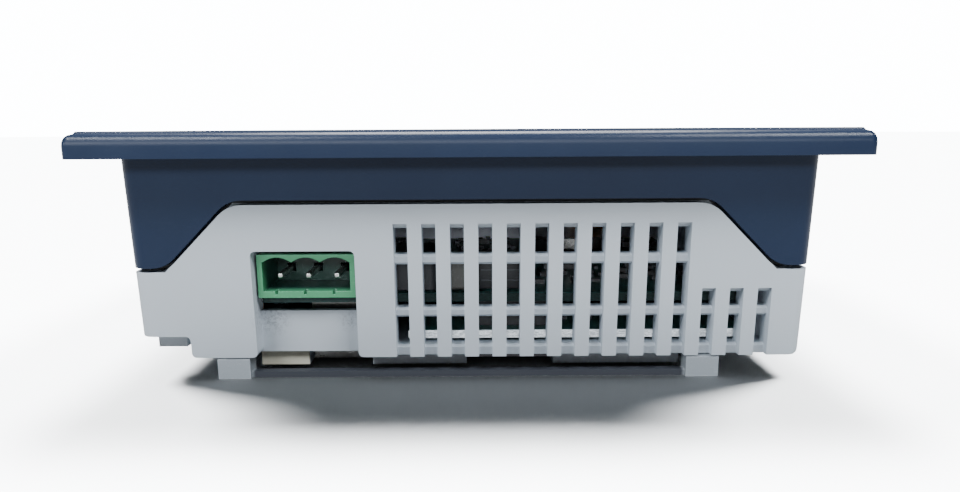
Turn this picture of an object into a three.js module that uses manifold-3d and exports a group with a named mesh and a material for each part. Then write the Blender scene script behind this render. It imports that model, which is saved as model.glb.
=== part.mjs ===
// Panel-mount operator terminal, 4.3-inch class, lying on its back with the display up.
// Millimetres. +X runs along the width, +Y from the lower edge to the upper edge, and +Z out of
// the display. The origin is the centre of the footprint, on the plane the feet stand on.
import * as THREE from 'three';
import { mergeVertices } from 'three/addons/utils/BufferGeometryUtils.js';
import Module from 'manifold-3d';

const wasm = await Module();
wasm.setup();

// ---------------------------------------------------------------- driving dimensions
const FLANGE_WIDTH = 130;
const FLANGE_DEPTH = 104;
const BODY_WIDTH = 118.8;
const BODY_DEPTH = 92;
const TOTAL_HEIGHT = 44;
const FLANGE_UNDERSIDE = 39.6;
const REAR_FACE = 4;
const PAD_FACE = 1.1;
const GAP = 0.3;
const SNAP = 0.001;

const FLANGE_CORNER = 1.3;
const BODY_CORNER = 2.5;
const SIDE_DRAFT = 0.012;
const EDGE_DRAFT = 0.035;
const FRAME_WALL = 2.0;
const COVER_WALL = 2.2;
const COVER_FLOOR = 1.8;
const PLATE_UNDERSIDE = 41.2;

// seam between frame and cover: high over the middle, low at the sides, 45 degree ramps
const SEAM_HIGH = 31.5;
const SEAM_LOW = 19.7;
const SEAM_RAMP_SUM = 72.8;
const SEAM_GROOVE = 0.75;
const SEAM_FILLET = 2.4;
const TONGUE_THICKNESS = 1.1;
const TONGUE_RISE = 2.6;

// display stack
const WINDOW = { x: 99, y: 58 };
const VIEW_AREA = { x: 95.5, y: 54.5 };
const OVERLAY_INSET = 3.2;
const OVERLAY_POCKET_FLOOR = 43.1;
const OVERLAY = { z0: 43.4, z1: 43.9 };
const TOUCH_GLASS = { x: 98.4, y: 57.4, z0: 41.2, z1: 43.1 };
const TOUCH_GASKET = { x: 104, y: 65, z0: 40.3, z1: 40.9 };
const LCD = { x: 105.5, y: 67.2, z0: 36.8, z1: 40.0 };
const BRACKET = { x: 106, y: 68, z0: 35.3, z1: 36.5 };
const BRACKET_BOSS = { x: 44, y: 37, r: 2.4 };
const BRACKET_APRON = { x0: -22, x1: 26, y: 22.4, z0: 12.6 };

// vent grille: upright slots in the outer layer, level bars in the inner layer
const SLOT_PITCH = 4.887;
const SLOT_WIDTH = 2.41;
const SLOT_FIRST = -13.35;
const TALL_SLOTS = 11;
const SHORT_SLOTS = 3;
const UPPER_SLOTS = 15;
const TALL_SLOT_TOP = 28.1;
const SHORT_SLOT_TOP = 16.4;
const BAR_SETBACK = 1.2;
const BAR_CHAMFER = 0.4;
const RIB_DEPTH = 3.5;
const TALL_ROWS = [[22.5, 27.2], [12.8, 20.7], [5.8, 11.1]];
const SHORT_ROWS = [[12.8, 15.5], [5.8, 11.1]];

// power bay and header, 5.08 mm pitch
const PITCH = 5.08;
const HEADER_X = -29.1;
const HEADER = { width: 17.24, z0: 14.7, z1: 22.5, setback: 1.6, depth: 12 };
const BAY = { x0: -38.2, x1: -20.15, top: 23.4, depth: 3.5, ledge: 11.8, wall: 1.3, corner: 1 };
const PIN = { width: 1, recess: 1.5, rise: 3.7 };

// stepped lower corner on the left
const STEP = { x: -49.9, z: 8, y: -22, corner: 1 };
const STEP_TAB = { width: 5.2, setback: 2, y0: -41.8, y1: -40.3, drop: 2.8 };

// boards
const MAIN_BOARD = { x0: -47, x1: 49, y0: -39.8, y1: 21, z0: 12.8, z1: 14.4 };
const IO_BOARD = { x0: -11.6, x1: 50.4, y0: -41, y1: -15, z0: 6.2, z1: 7.8 };
const PILLARS = [[-43, -34], [-43, 17], [45, 17], [45, -9]];
const PROCESSOR = { x: -14, y: -3.5, size: 17, height: 1.5 };
const MEMORY = { x: 4, y: -14, width: 12, depth: 8, height: 1.1 };
const FILM_CAPACITOR = { x: -2.4, y: -36.4, size: 4.6, height: 5.3 };
const BULK_CAPACITOR = { x: -36, y: -22, radius: 5, height: 11.6 };
const INDUCTOR = { x: -10.6, y: -34.4, size: 9, height: 6 };
const LINK_HEADER = { x: 5.4, y: -35.4, width: 8.2, depth: 5, height: 6.2 };
const CELL = { x: 24, y: 4, radius: 10, thickness: 3 };
const CELL_HOLDER = { radius: 12, bore: 10.4, height: 3.5, floor: 0.8, gate: 12 };

// rear connector pad and what it holds
const PAD = { x0: -39, x1: 38.3, y0: -40.3, y1: 16 };
const ETHERNET = { x: 7, y: -31.2, width: 15.4, depth: 13.4 };
const USB = { x: -24.3, y: -32.4, width: 11.2, depth: 11.2 };
const SERIAL = { x: -20, y: -8, width: 30.8, depth: 12.5 };
const DIP = { x: 26, y: -33, width: 11.6, depth: 9.6, z0: 2.4, z1: 5.9 };
const DIP_PITCH = 2.54;
const DIP_TRAVEL = 1.0;
const RESET = { x: 26, y: -20, size: 6, z0: 2.6, z1: 5.9, stem: 1.6 };
const CONNECTOR_TOP = 12.5;
const CONNECTOR_MOUTH = 1.4;
const LABEL = { x0: 2, x1: 36, y0: -8, y1: 13, thickness: 0.3 };

// fasteners
const COVER_SCREW = { x: 54.9, y: 37.4, boss: 2.5, head: 2.1, shank: 1.1, length: 16 };
const BOSS_SPLIT = 16.6;
const CLAMP_SLOT = { length: 12, z0: 27, z1: 30.2, y: 24 };
const FOOT_FRAME = { x0: -45.5, x1: 44.2, halfY: 44.7, foot: 5.8, footDepth: 3, bar: 1.1 };

// ---------------------------------------------------------------- finishes
const NAVY = { color: 0x2d4159, roughness: 0.38, metalness: 0 };
const COVER_GREY = { color: 0xc5cad0, roughness: 0.55, metalness: 0 };
const FOOT_GREY = { color: 0x9ea4ab, roughness: 0.6, metalness: 0 };
const BLACK_PLASTIC = { color: 0x15171a, roughness: 0.5, metalness: 0 };
const GREEN_PLASTIC = { color: 0x3f9268, roughness: 0.45, metalness: 0 };
const WHITE_PLASTIC = { color: 0xe8e8e2, roughness: 0.5, metalness: 0 };
const BOARD_GREEN = { color: 0x1f5a4a, roughness: 0.5, metalness: 0 };
const STEEL = { color: 0xa9adb0, roughness: 0.35, metalness: 1 };
const TIN = { color: 0xb8bab8, roughness: 0.3, metalness: 1 };
const GOLD = { color: 0xc9a227, roughness: 0.3, metalness: 1 };
const DARK_GLASS = { color: 0x0b0d10, roughness: 0.08, metalness: 0 };
const OVERLAY_FILM = { color: 0x1d2530, roughness: 0.3, metalness: 0 };
const FOAM = { color: 0x1c1d1f, roughness: 0.95, metalness: 0 };
const AMBER_FILM = { color: 0xa8641c, roughness: 0.4, metalness: 0 };
const BEIGE = { color: 0xb7ac84, roughness: 0.5, metalness: 0 };
const SLATE = { color: 0x2b3036, roughness: 0.6, metalness: 0 };
const BRASS = { color: 0xb58d3d, roughness: 0.35, metalness: 1 };
const PAPER = { color: 0xdfe2e4, roughness: 0.7, metalness: 0 };

// ---------------------------------------------------------------- solids
// closed mesh -> solid that can be joined and cut, with its corners snapped to a fine grid so
// that faces meant to be in one plane are exactly in it
function solidOf(geometry) {
  const bare = geometry.clone();
  bare.deleteAttribute('normal');
  bare.deleteAttribute('uv');
  const corners = bare.attributes.position.array;
  corners.forEach((value, i) => {
    corners[i] = Math.round(value / SNAP) * SNAP;
  });
  const merged = mergeVertices(bare, 1e-4);
  return new wasm.Manifold(new wasm.Mesh({
    numProp: 3,
    vertProperties: new Float32Array(merged.attributes.position.array),
    triVerts: new Uint32Array(merged.index.array),
  }));
}

function geometryOf(solid) {
  const mesh = solid.getMesh();
  const geometry = new THREE.BufferGeometry();
  geometry.setAttribute('position', new THREE.BufferAttribute(mesh.vertProperties, 3));
  geometry.setIndex(new THREE.BufferAttribute(mesh.triVerts, 1));
  geometry.computeVertexNormals();
  return geometry;
}

const join = (first, ...others) => others.reduce((sum, other) => sum.add(other), first);
const cut = (first, ...others) => others.reduce((rest, other) => rest.subtract(other), first);

// block between two corners
function block(x0, x1, y0, y1, z0, z1) {
  const geometry = new THREE.BoxGeometry(x1 - x0, y1 - y0, z1 - z0);
  geometry.translate((x0 + x1) / 2, (y0 + y1) / 2, (z0 + z1) / 2);
  return solidOf(geometry);
}

// block centred on x, y
function slab(x, y, width, depth, z0, z1) {
  return block(x - width / 2, x + width / 2, y - depth / 2, y + depth / 2, z0, z1);
}

// upright round bar
function rod(x, y, radius, z0, z1, sides = 16) {
  const geometry = new THREE.CylinderGeometry(radius, radius, z1 - z0, sides);
  geometry.rotateX(Math.PI / 2);
  geometry.translate(x, y, (z0 + z1) / 2);
  return solidOf(geometry);
}

// outline with rounded corners; each point is [across, up, radius]
function roundedOutline(points) {
  const shape = new THREE.Shape();
  const count = points.length;
  points.forEach(([u, v, radius = 0], i) => {
    const corner = new THREE.Vector2(u, v);
    const before = new THREE.Vector2(...points[(i + count - 1) % count]);
    const after = new THREE.Vector2(...points[(i + 1) % count]);
    const start = corner.clone().add(before.sub(corner).setLength(radius));
    const end = corner.clone().add(after.sub(corner).setLength(radius));
    if (i === 0) shape.moveTo(start.x, start.y);
    else shape.lineTo(start.x, start.y);
    if (radius > 0) shape.quadraticCurveTo(u, v, end.x, end.y);
  });
  shape.closePath();
  return shape;
}

// outline in the X-Z plane, run along Y
function prismAlongY(points, y0, y1) {
  const options = { depth: y1 - y0, bevelEnabled: false, curveSegments: 5 };
  const geometry = new THREE.ExtrudeGeometry(roundedOutline(points), options);
  geometry.rotateX(Math.PI / 2);
  geometry.translate(0, y1, 0);
  return solidOf(geometry);
}

// outline in the Y-Z plane, run along X
function prismAlongX(points, x0, x1) {
  const options = { depth: x1 - x0, bevelEnabled: false, curveSegments: 4 };
  const geometry = new THREE.ExtrudeGeometry(roundedOutline(points), options);
  geometry.rotateY(Math.PI / 2);
  geometry.rotateX(Math.PI / 2);
  geometry.translate(x0, 0, 0);
  return solidOf(geometry);
}

// outline in the X-Y plane, run along Z
function prismAlongZ(points, z0, z1) {
  const options = { depth: z1 - z0, bevelEnabled: false, curveSegments: 4 };
  const geometry = new THREE.ExtrudeGeometry(roundedOutline(points), options);
  geometry.translate(0, 0, z0);
  return solidOf(geometry);
}

// one level of a rounded rectangle, counterclockwise seen from above
function rectangleRing(halfX, halfY, radius, z) {
  const steps = 4;
  const ring = [];
  const corners = [[1, 1, 0], [-1, 1, 1], [-1, -1, 2], [1, -1, 3]];
  for (const [sx, sy, quarter] of corners) {
    for (let i = 0; i <= steps; i += 1) {
      const angle = (quarter + i / steps) * Math.PI / 2;
      const x = sx * (halfX - radius) + radius * Math.cos(angle);
      const y = sy * (halfY - radius) + radius * Math.sin(angle);
      ring.push([x, y, z]);
    }
  }
  return ring;
}

// solid through a stack of convex rings with equal point counts
function loft(rings) {
  const count = rings[0].length;
  const last = (rings.length - 1) * count;
  const index = [];
  for (let level = 0; level + 1 < rings.length; level += 1) {
    for (let i = 0; i < count; i += 1) {
      const a = level * count + i;
      const b = level * count + (i + 1) % count;
      index.push(a, b, b + count, a, b + count, a + count);
    }
  }
  for (let i = 1; i + 1 < count; i += 1) {
    index.push(0, i + 1, i);
    index.push(last, last + i, last + i + 1);
  }
  const geometry = new THREE.BufferGeometry();
  geometry.setAttribute('position', new THREE.Float32BufferAttribute(rings.flat(2), 3));
  geometry.setIndex(index);
  return solidOf(geometry);
}

function roundedPlate(width, depth, radius, z0, z1) {
  return loft([
    rectangleRing(width / 2, depth / 2, radius, z0),
    rectangleRing(width / 2, depth / 2, radius, z1),
  ]);
}

// flat picture-frame ring
function flatRing(outerX, outerY, innerX, innerY, z0, z1) {
  return cut(slab(0, 0, outerX, outerY, z0, z1), slab(0, 0, innerX, innerY, z0 - 1, z1 + 1));
}

// thin strip that follows a path in the Y-Z plane, thickened to its right-hand side
function ribbon(path, thickness, x0, x1) {
  const offset = path.map(([y, z], i) => {
    const [yBefore, zBefore] = path[Math.max(i - 1, 0)];
    const [yAfter, zAfter] = path[Math.min(i + 1, path.length - 1)];
    const along = new THREE.Vector2(yAfter - yBefore, zAfter - zBefore).normalize();
    return [y + along.y * thickness, z - along.x * thickness];
  });
  return prismAlongX([...path, ...offset.reverse()], x0, x1);
}

// ---------------------------------------------------------------- body shape
const bodyHalfX = (z) => BODY_WIDTH / 2 - SIDE_DRAFT * (FLANGE_UNDERSIDE - z);
const bodyHalfY = (z) => BODY_DEPTH / 2 - EDGE_DRAFT * (FLANGE_UNDERSIDE - z);

// drafted block of the body's plan, shrunk by an inset
function bodyBlock(inset, z0, z1) {
  const radius = Math.max(BODY_CORNER - inset, 0.4);
  const ringAt = (z) => rectangleRing(bodyHalfX(z) - inset, bodyHalfY(z) - inset, radius, z);
  return loft([ringAt(z0), ringAt(z1)]);
}

function bodyRing(outerInset, innerInset, z0, z1) {
  return cut(bodyBlock(outerInset, z0, z1), bodyBlock(innerInset, z0 - 1, z1 + 1));
}

// everything under the seam line, raised by a lift
function underSeam(lift, floor = -10) {
  const high = SEAM_HIGH + lift;
  const low = SEAM_LOW + lift;
  const sum = SEAM_RAMP_SUM + lift;
  const reach = 80;
  return prismAlongY([
    [-reach, floor], [reach, floor], [reach, low],
    [sum - low, low, SEAM_FILLET], [sum - high, high, SEAM_FILLET],
    [high - sum, high, SEAM_FILLET], [low - sum, low, SEAM_FILLET], [-reach, low],
  ], -reach, reach);
}

// block that leans with the lower-edge wall; depth is counted inwards from its face
function leaningBlock(x0, x1, z0, z1, depth0, depth1) {
  const geometry = new THREE.BoxGeometry(x1 - x0, depth1 - depth0, z1 - z0);
  geometry.translate((x0 + x1) / 2, (depth0 + depth1) / 2, (z0 + z1) / 2);
  const position = geometry.attributes.position;
  for (let i = 0; i < position.count; i += 1) {
    position.setY(i, position.getY(i) - bodyHalfY(position.getZ(i)));
  }
  return solidOf(geometry);
}

const turnedAround = (solid) => solid.rotate([0, 0, 180]);

// ---------------------------------------------------------------- front frame
function flangeBlock() {
  const edgeTop = 41.65;
  const roundX = 1.3;
  const roundZ = 1.9;
  const levels = [[0, FLANGE_UNDERSIDE], [0, edgeTop]];
  for (let i = 1; i <= 4; i += 1) {
    const angle = i / 4 * Math.PI / 2;
    levels.push([roundX * (1 - Math.cos(angle)), edgeTop + roundZ * Math.sin(angle)]);
  }
  levels.push([1.5, 43.6], [1.8, TOTAL_HEIGHT]);
  const ringAt = ([inset, z]) => rectangleRing(
    FLANGE_WIDTH / 2 - inset, FLANGE_DEPTH / 2 - inset, FLANGE_CORNER - inset / 2, z);
  return loft(levels.map(ringAt));
}

function gasketRing(outer, inner, z0, z1) {
  return cut(
    roundedPlate(BODY_WIDTH + 2 * outer, BODY_DEPTH + 2 * outer, BODY_CORNER, z0, z1),
    roundedPlate(BODY_WIDTH + 2 * inner, BODY_DEPTH + 2 * inner, BODY_CORNER, z0 - 1, z1 + 1),
  );
}

const mirroredPlaces = (x, y) => [[-x, -y], [x, -y], [x, y], [-x, y]];

function frontFrame() {
  const skirt = cut(bodyRing(0, FRAME_WALL, 15, PLATE_UNDERSIDE), underSeam(SEAM_GROOVE));
  const overlayX = FLANGE_WIDTH - 2 * OVERLAY_INSET;
  const overlayY = FLANGE_DEPTH - 2 * OVERLAY_INSET;
  let frame = join(flangeBlock(), skirt);
  frame = cut(
    frame,
    bodyBlock(FRAME_WALL, 10, PLATE_UNDERSIDE),
    slab(0, 0, WINDOW.x, WINDOW.y, PLATE_UNDERSIDE - 1, TOTAL_HEIGHT + 1),
    roundedPlate(overlayX, overlayY, 2.5, OVERLAY_POCKET_FLOOR, TOTAL_HEIGHT + 1),
    gasketRing(2.9, 0.7, FLANGE_UNDERSIDE - 1, FLANGE_UNDERSIDE + 1.4),
  );
  for (const [x, y] of mirroredPlaces(COVER_SCREW.x, COVER_SCREW.y)) {
    const boss = rod(x, y, COVER_SCREW.boss, BOSS_SPLIT + GAP, PLATE_UNDERSIDE + 0.5);
    frame = join(frame, boss.intersect(bodyBlock(COVER_WALL + GAP, 10, TOTAL_HEIGHT - 1)));
    frame = cut(frame, rod(x, y, COVER_SCREW.shank + GAP, BOSS_SPLIT, 26, 12));
  }
  for (const [x, y] of mirroredPlaces(BRACKET_BOSS.x, BRACKET_BOSS.y)) {
    frame = join(frame, rod(x, y, BRACKET_BOSS.r, BRACKET.z1 + GAP, PLATE_UNDERSIDE + 0.5, 16));
    frame = cut(frame, rod(x, y, 1.2, BRACKET.z1, 40.4, 10));
  }
  for (const side of [-1, 1]) {
    for (const y of [-CLAMP_SLOT.y, CLAMP_SLOT.y]) {
      const { length, z0, z1 } = CLAMP_SLOT;
      frame = cut(frame, slab(side * BODY_WIDTH / 2, y, 8, length, z0, z1));
    }
  }
  return frame;
}

// ---------------------------------------------------------------- rear cover
// level bar between two rows, set back behind the ribs' faces, with chamfered front edges
function grilleBar(x0, x1, z0, z1, chamferLow) {
  const front = BAR_SETBACK - bodyHalfY((z0 + z1) / 2);
  const back = front + RIB_DEPTH + 2;
  const lowerEdge = chamferLow ? [[front, z0 + BAR_CHAMFER], [front + BAR_CHAMFER, z0]] : [[front, z0]];
  const upperEdge = [[front + BAR_CHAMFER, z1], [front, z1 - BAR_CHAMFER]];
  return prismAlongX([...lowerEdge, [back, z0], [back, z1], ...upperEdge], x0, x1);
}

// upright slots between ribs, less the level bars; rows holds each row's [low, high], top row first
function grilleCut(first, count, top, rows) {
  const right = first + count * SLOT_PITCH;
  const cutters = [];
  for (let i = 0; i < count; i += 1) {
    const x0 = first + i * SLOT_PITCH;
    cutters.push(leaningBlock(x0, x0 + SLOT_WIDTH, 0, top, -1, RIB_DEPTH + 1));
  }
  const edges = [[rows[0][1], top + 2], ...rows.map(([low], i) => [rows[i + 1]?.[1] ?? -1, low])];
  const bars = edges.map(([z0, z1], i) => grilleBar(first - 1, right, z0, z1, i < edges.length - 1));
  return cut(join(...cutters), ...bars);
}

// thickening of the wall behind a grille, which gives the ribs their depth
function grilleBacking(x0, x1, top, depth = RIB_DEPTH) {
  return leaningBlock(x0, x1, REAR_FACE + 0.5, top, COVER_WALL - 0.5, depth);
}

function grilleBackings() {
  const shortFirst = SLOT_FIRST + TALL_SLOTS * SLOT_PITCH;
  const right = shortFirst + SHORT_SLOTS * SLOT_PITCH;
  const upper = UPPER_SLOTS * SLOT_PITCH / 2;
  return join(
    grilleBacking(SLOT_FIRST - 2, shortFirst, TALL_SLOT_TOP + 0.8),
    grilleBacking(shortFirst - 1, right, SHORT_SLOT_TOP + 0.8, RIB_DEPTH - 0.2),
    turnedAround(grilleBacking(-upper, upper, TALL_SLOT_TOP + 0.8)),
  );
}

function lowerGrilleCut() {
  const shortFirst = SLOT_FIRST + TALL_SLOTS * SLOT_PITCH;
  return join(
    grilleCut(SLOT_FIRST, TALL_SLOTS, TALL_SLOT_TOP, TALL_ROWS),
    grilleCut(shortFirst, SHORT_SLOTS, SHORT_SLOT_TOP, SHORT_ROWS),
  );
}

function upperGrilleCut() {
  const first = -((UPPER_SLOTS - 1) * SLOT_PITCH + SLOT_WIDTH) / 2;
  return turnedAround(grilleCut(first, UPPER_SLOTS, TALL_SLOT_TOP, TALL_ROWS));
}

// outline of the cover seen from the lower edge, with rounded long edges
function coverOutline() {
  const reach = 80;
  return prismAlongY([
    [-bodyHalfX(REAR_FACE), REAR_FACE, 2.2], [bodyHalfX(REAR_FACE), REAR_FACE, 2.2],
    [reach, reach], [-reach, reach],
  ], -reach, reach);
}

function coverShell() {
  const outer = bodyBlock(0, REAR_FACE, 40).intersect(underSeam(0)).intersect(coverOutline());
  const step = prismAlongY([
    [-80, 0], [STEP.x + 3, 0], [STEP.x + 3, REAR_FACE], [STEP.x, REAR_FACE, STEP.corner],
    [STEP.x, STEP.z, STEP.corner], [-80, STEP.z],
  ], -80, STEP.y);
  const stepInside = block(-80, STEP.x + COVER_WALL, -80, STEP.y + COVER_WALL, -10, STEP.z + COVER_FLOOR);
  const hollow = cut(bodyBlock(COVER_WALL, REAR_FACE + COVER_FLOOR, 45), stepInside);
  return cut(outer, step, hollow);
}

// lip that stands up inside the frame and closes the seam to view
function seamTongue() {
  const inner = FRAME_WALL + GAP + TONGUE_THICKNESS;
  const lip = bodyRing(FRAME_WALL + GAP, inner, 12, 38).intersect(underSeam(TONGUE_RISE));
  const root = bodyRing(COVER_WALL - 0.4, inner, 12, 38).intersect(underSeam(0));
  let tongue = cut(join(lip, root), underSeam(-2.6));
  for (const [x, y] of mirroredPlaces(COVER_SCREW.x, COVER_SCREW.y)) {
    tongue = cut(tongue, rod(x, y, COVER_SCREW.boss + 2 * GAP, 10, 38));
  }
  return tongue;
}

function powerBayShell() {
  const { x0, x1, top, depth, wall } = BAY;
  return leaningBlock(x0 - wall, x1 + wall, REAR_FACE, top + wall, 0.5, depth + wall);
}

function powerBayCut() {
  const { x0, x1, top, depth, ledge, corner } = BAY;
  const mouth = prismAlongY([
    [x0 - 3, 0], [x1 + 3, 0], [x1 + 3, REAR_FACE], [x1, REAR_FACE, corner], [x1, top, corner],
    [x0, top, corner], [x0, REAR_FACE, corner], [x0 - 3, REAR_FACE],
  ], -60, -30).intersect(leaningBlock(-60, 0, -5, 30, -5, depth));
  const throat = leaningBlock(x0, x1, ledge, top - 0.5, depth - 0.1, depth + 3);
  return join(mouth, throat);
}

function connectorPad() {
  return block(PAD.x0, PAD.x1, PAD.y0, PAD.y1, PAD_FACE, REAR_FACE + 0.5);
}

// openings through the pad and the floor, each with a small gap round what it shows; the two
// data ports next to the lower edge also have a notch in the pad's front wall
function connectorCuts() {
  const through = ({ x, y, width, depth }) => slab(x, y, width + 2 * GAP, depth + 2 * GAP, 0, 7);
  const notch = ({ x, y, width }) => block(
    x - width / 2 - GAP, x + width / 2 + GAP, PAD.y0 - 1, y, 0, REAR_FACE);
  return join(
    through(ETHERNET),
    notch(ETHERNET),
    through(USB),
    notch(USB),
    through(SERIAL),
    through(DIP),
    slab(RESET.x, RESET.y, RESET.size + 2 * GAP, RESET.size + 2 * GAP, RESET.z0 - GAP, 7),
    rod(RESET.x, RESET.y, 2.3, 0, 3, 16),
    block(LABEL.x0 - GAP, LABEL.x1 + GAP, LABEL.y0 - GAP, LABEL.y1 + GAP,
      0, PAD_FACE + 2 * LABEL.thickness),
  );
}

const coverScrewPlaces = () => mirroredPlaces(COVER_SCREW.x, COVER_SCREW.y).map(([x, y]) => {
  const seat = x < STEP.x && y < STEP.y ? STEP.z : REAR_FACE;
  return [x, y, seat];
});

const footFrameScrewPlaces = () => {
  const x = FOOT_FRAME.x0 + 1.7;
  const mirrored = FOOT_FRAME.x1 - 1.7;
  return [[x, 30], [mirrored, 30], [x, -12], [mirrored, -12]];
};

// small guide tab under the stepped corner
function stepTab() {
  const { width, setback, y0, y1, drop } = STEP_TAB;
  const right = STEP.x - setback;
  return block(right - width, right, y0, y1, STEP.z - drop, STEP.z + 0.5);
}

function rearCover() {
  let cover = join(coverShell(), seamTongue(), grilleBackings(), powerBayShell(), connectorPad());
  cover = cut(cover, powerBayCut(), connectorCuts(), lowerGrilleCut(), upperGrilleCut());
  for (const [x, y, seat] of coverScrewPlaces()) {
    const shell = bodyBlock(0.5, REAR_FACE, 40);
    cover = join(cover, rod(x, y, COVER_SCREW.boss, seat + 0.5, BOSS_SPLIT).intersect(shell));
    cover = cut(cover, rod(x, y, COVER_SCREW.head + GAP, seat - 1, seat + 1.1));
    cover = cut(cover, rod(x, y, COVER_SCREW.shank + GAP, 0, 20, 12));
  }
  for (const [x, y] of footFrameScrewPlaces()) {
    cover = cut(cover, rod(x, y, 1.3, 3, 5, 12));
  }
  return join(cover, stepTab());
}

// ---------------------------------------------------------------- display stack
function frontOverlay() {
  const width = FLANGE_WIDTH - 2 * OVERLAY_INSET - 2 * GAP;
  const depth = FLANGE_DEPTH - 2 * OVERLAY_INSET - 2 * GAP;
  const sheet = roundedPlate(width, depth, 2.2, OVERLAY.z0, OVERLAY.z1);
  return cut(sheet, roundedPlate(VIEW_AREA.x, VIEW_AREA.y, 1, 43, 45));
}

function lcdFrame() {
  const tray = slab(0, 0, LCD.x, LCD.y, LCD.z0, LCD.z1);
  const pocket = slab(0, 0, LCD.x - 2.4, LCD.y - 2.4, LCD.z0 + 0.8, LCD.z1 + 1);
  return cut(tray, pocket);
}

function lcdGlass() {
  return slab(0, 0, LCD.x - 3, LCD.y - 3, LCD.z0 + 1.1, LCD.z1 - 0.1);
}

function lcdBracket() {
  const { z0, z1 } = BRACKET;
  const { x0, x1, y: apronY, z0: apronFoot } = BRACKET_APRON;
  const earWidth = 7;
  const earReach = BRACKET_BOSS.y + 2.7;
  const plate = slab(0, 0, BRACKET.x, BRACKET.y, z0, z1);
  const apron = block(x0, x1, apronY, apronY + z1 - z0, apronFoot, z0 + 0.2);
  let bracket = join(plate, apron);
  for (const side of [-1, 1]) {
    bracket = join(bracket, slab(side * BRACKET_BOSS.x, 0, earWidth, 2 * earReach, z0, z1));
  }
  for (const [x, y] of mirroredPlaces(BRACKET_BOSS.x, BRACKET_BOSS.y)) {
    bracket = cut(bracket, rod(x, y, 1.2, z0 - 1, z1 + 1, 12));
  }
  return bracket;
}

function lcdFlex() {
  return ribbon([[35.6, 38.2], [38, 35], [38, 31], [24, 17.5], [17.5, 15.6]], 0.25, 27.6, 39);
}

function touchTail() {
  return ribbon([[33.4, 40.4], [39.4, 37], [39.4, 31], [25.5, 18.5], [18, 16.4]], 0.25, -34, -28);
}

// ---------------------------------------------------------------- boards and their parts
function mainBoard() {
  const { x0, x1, y0, y1, z0, z1 } = MAIN_BOARD;
  let board = block(x0, x1, y0, y1, z0, z1);
  for (const [x, y] of PILLARS) {
    board = cut(board, rod(x, y, 1.6, z0 - 1, z1 + 1, 12));
  }
  return board;
}

function ioBoard() {
  const { x0, x1, y0, y1, z0, z1 } = IO_BOARD;
  const hole = slab(ETHERNET.x, ETHERNET.y, ETHERNET.width + 1, ETHERNET.depth + 1, z0 - 1, z1 + 1);
  return cut(block(x0, x1, y0, y1, z0, z1), hole);
}

function boardPillar(x, y) {
  const pillar = rod(x, y, 2.7, REAR_FACE + COVER_FLOOR + GAP, MAIN_BOARD.z0 - GAP, 6);
  return cut(pillar, rod(x, y, 1.3, MAIN_BOARD.z0 - 4, MAIN_BOARD.z0 + 1, 10));
}

// pan head screw: the head's seat is at z, and its direction is 1 with the head up, -1 head down
function panScrew(x, y, seat, direction, head, headHeight, shank, length) {
  const profile = [
    [0, headHeight], [head * 0.72, headHeight], [head, headHeight * 0.55], [head, 0],
    [shank, 0], [shank, -length], [0, -length],
  ].map(([r, z]) => new THREE.Vector2(r, z)).reverse();
  const geometry = new THREE.LatheGeometry(profile, 12);
  geometry.rotateX(direction > 0 ? Math.PI / 2 : -Math.PI / 2);
  geometry.translate(x, y, seat);
  return solidOf(geometry);
}

function crossRecess(x, y, head, z0, z1) {
  const long = head * 1.15;
  return join(slab(x, y, long, long * 0.22, z0, z1), slab(x, y, long * 0.22, long, z0, z1));
}

// shroud with a scalloped upper lip, one arch over each pin, and a grooved lower lip
function powerHeader() {
  const { width, z0, z1, setback, depth } = HEADER;
  const wall = 0.9;
  const lip = 1.2;
  const cusp = z1 - 1.35;
  const archRise = 0.75;
  const archHalf = PITCH / 2 - 0.05;
  const face = -bodyHalfY((z0 + z1) / 2) + setback;
  const left = HEADER_X - width / 2;
  const right = HEADER_X + width / 2;
  const body = block(left, right, face, face + depth, z0, z1);
  const pocket = block(left + wall, right - wall, face - 1, face + 9, z0 + lip, cusp);
  let header = cut(body, pocket);
  for (const step of [-1, 0, 1]) {
    const x = HEADER_X + step * PITCH;
    const arch = prismAlongY([
      [x - archHalf, cusp - 1], [x + archHalf, cusp - 1], [x + archHalf, cusp],
      [x, cusp + 2 * archRise, archHalf], [x - archHalf, cusp],
    ], face - 1, face + 9);
    const groove = slab(x - 0.3, face, 0.5, 3, z0 + lip - 0.6, z0 + lip + 1);
    const pinHole = slab(x, face + depth, 1.6, 8, headerPinZ() - 0.8, headerPinZ() + 0.8);
    header = cut(header, arch, groove, pinHole);
  }
  return header;
}

const headerPinZ = () => HEADER.z0 + PIN.rise;

// square pin that runs out of the header's back wall towards the mouth, and down to the board
function headerPin(x) {
  const face = -bodyHalfY((HEADER.z0 + HEADER.z1) / 2) + HEADER.setback;
  const z = headerPinZ();
  const half = PIN.width / 2;
  const back = face + HEADER.depth + 0.5;
  const forward = block(x - half, x + half, face + PIN.recess, back + PIN.width, z - half, z + half);
  const leg = block(x - half, x + half, back, back + PIN.width, MAIN_BOARD.z1 + GAP, z + half);
  return join(forward, leg);
}

function ethernetJack() {
  const { x, y, width, depth } = ETHERNET;
  return cut(
    slab(x, y, width, depth, CONNECTOR_MOUTH, CONNECTOR_TOP),
    slab(x, y + 0.6, 11.8, 7.4, 0, 11),
    slab(x, y - 4.2, 6, 2.4, 0, 9),
    slab(x, y - 5.2, 3.4, 1.2, 0, 9),
  );
}

function usbPort() {
  const { x, y, width, depth } = USB;
  const housing = cut(
    slab(x, y, width, depth, CONNECTOR_MOUTH, CONNECTOR_TOP),
    prismAlongZ([
      [x - 4.2, y - 3.9], [x + 4.2, y - 3.9], [x + 4.2, y + 3.9, 1.8], [x - 4.2, y + 3.9, 1.8],
    ], 0, 10.8),
  );
  return join(housing, slab(x, y, 5.6, 3.1, 2.4, 11.4));
}

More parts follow.
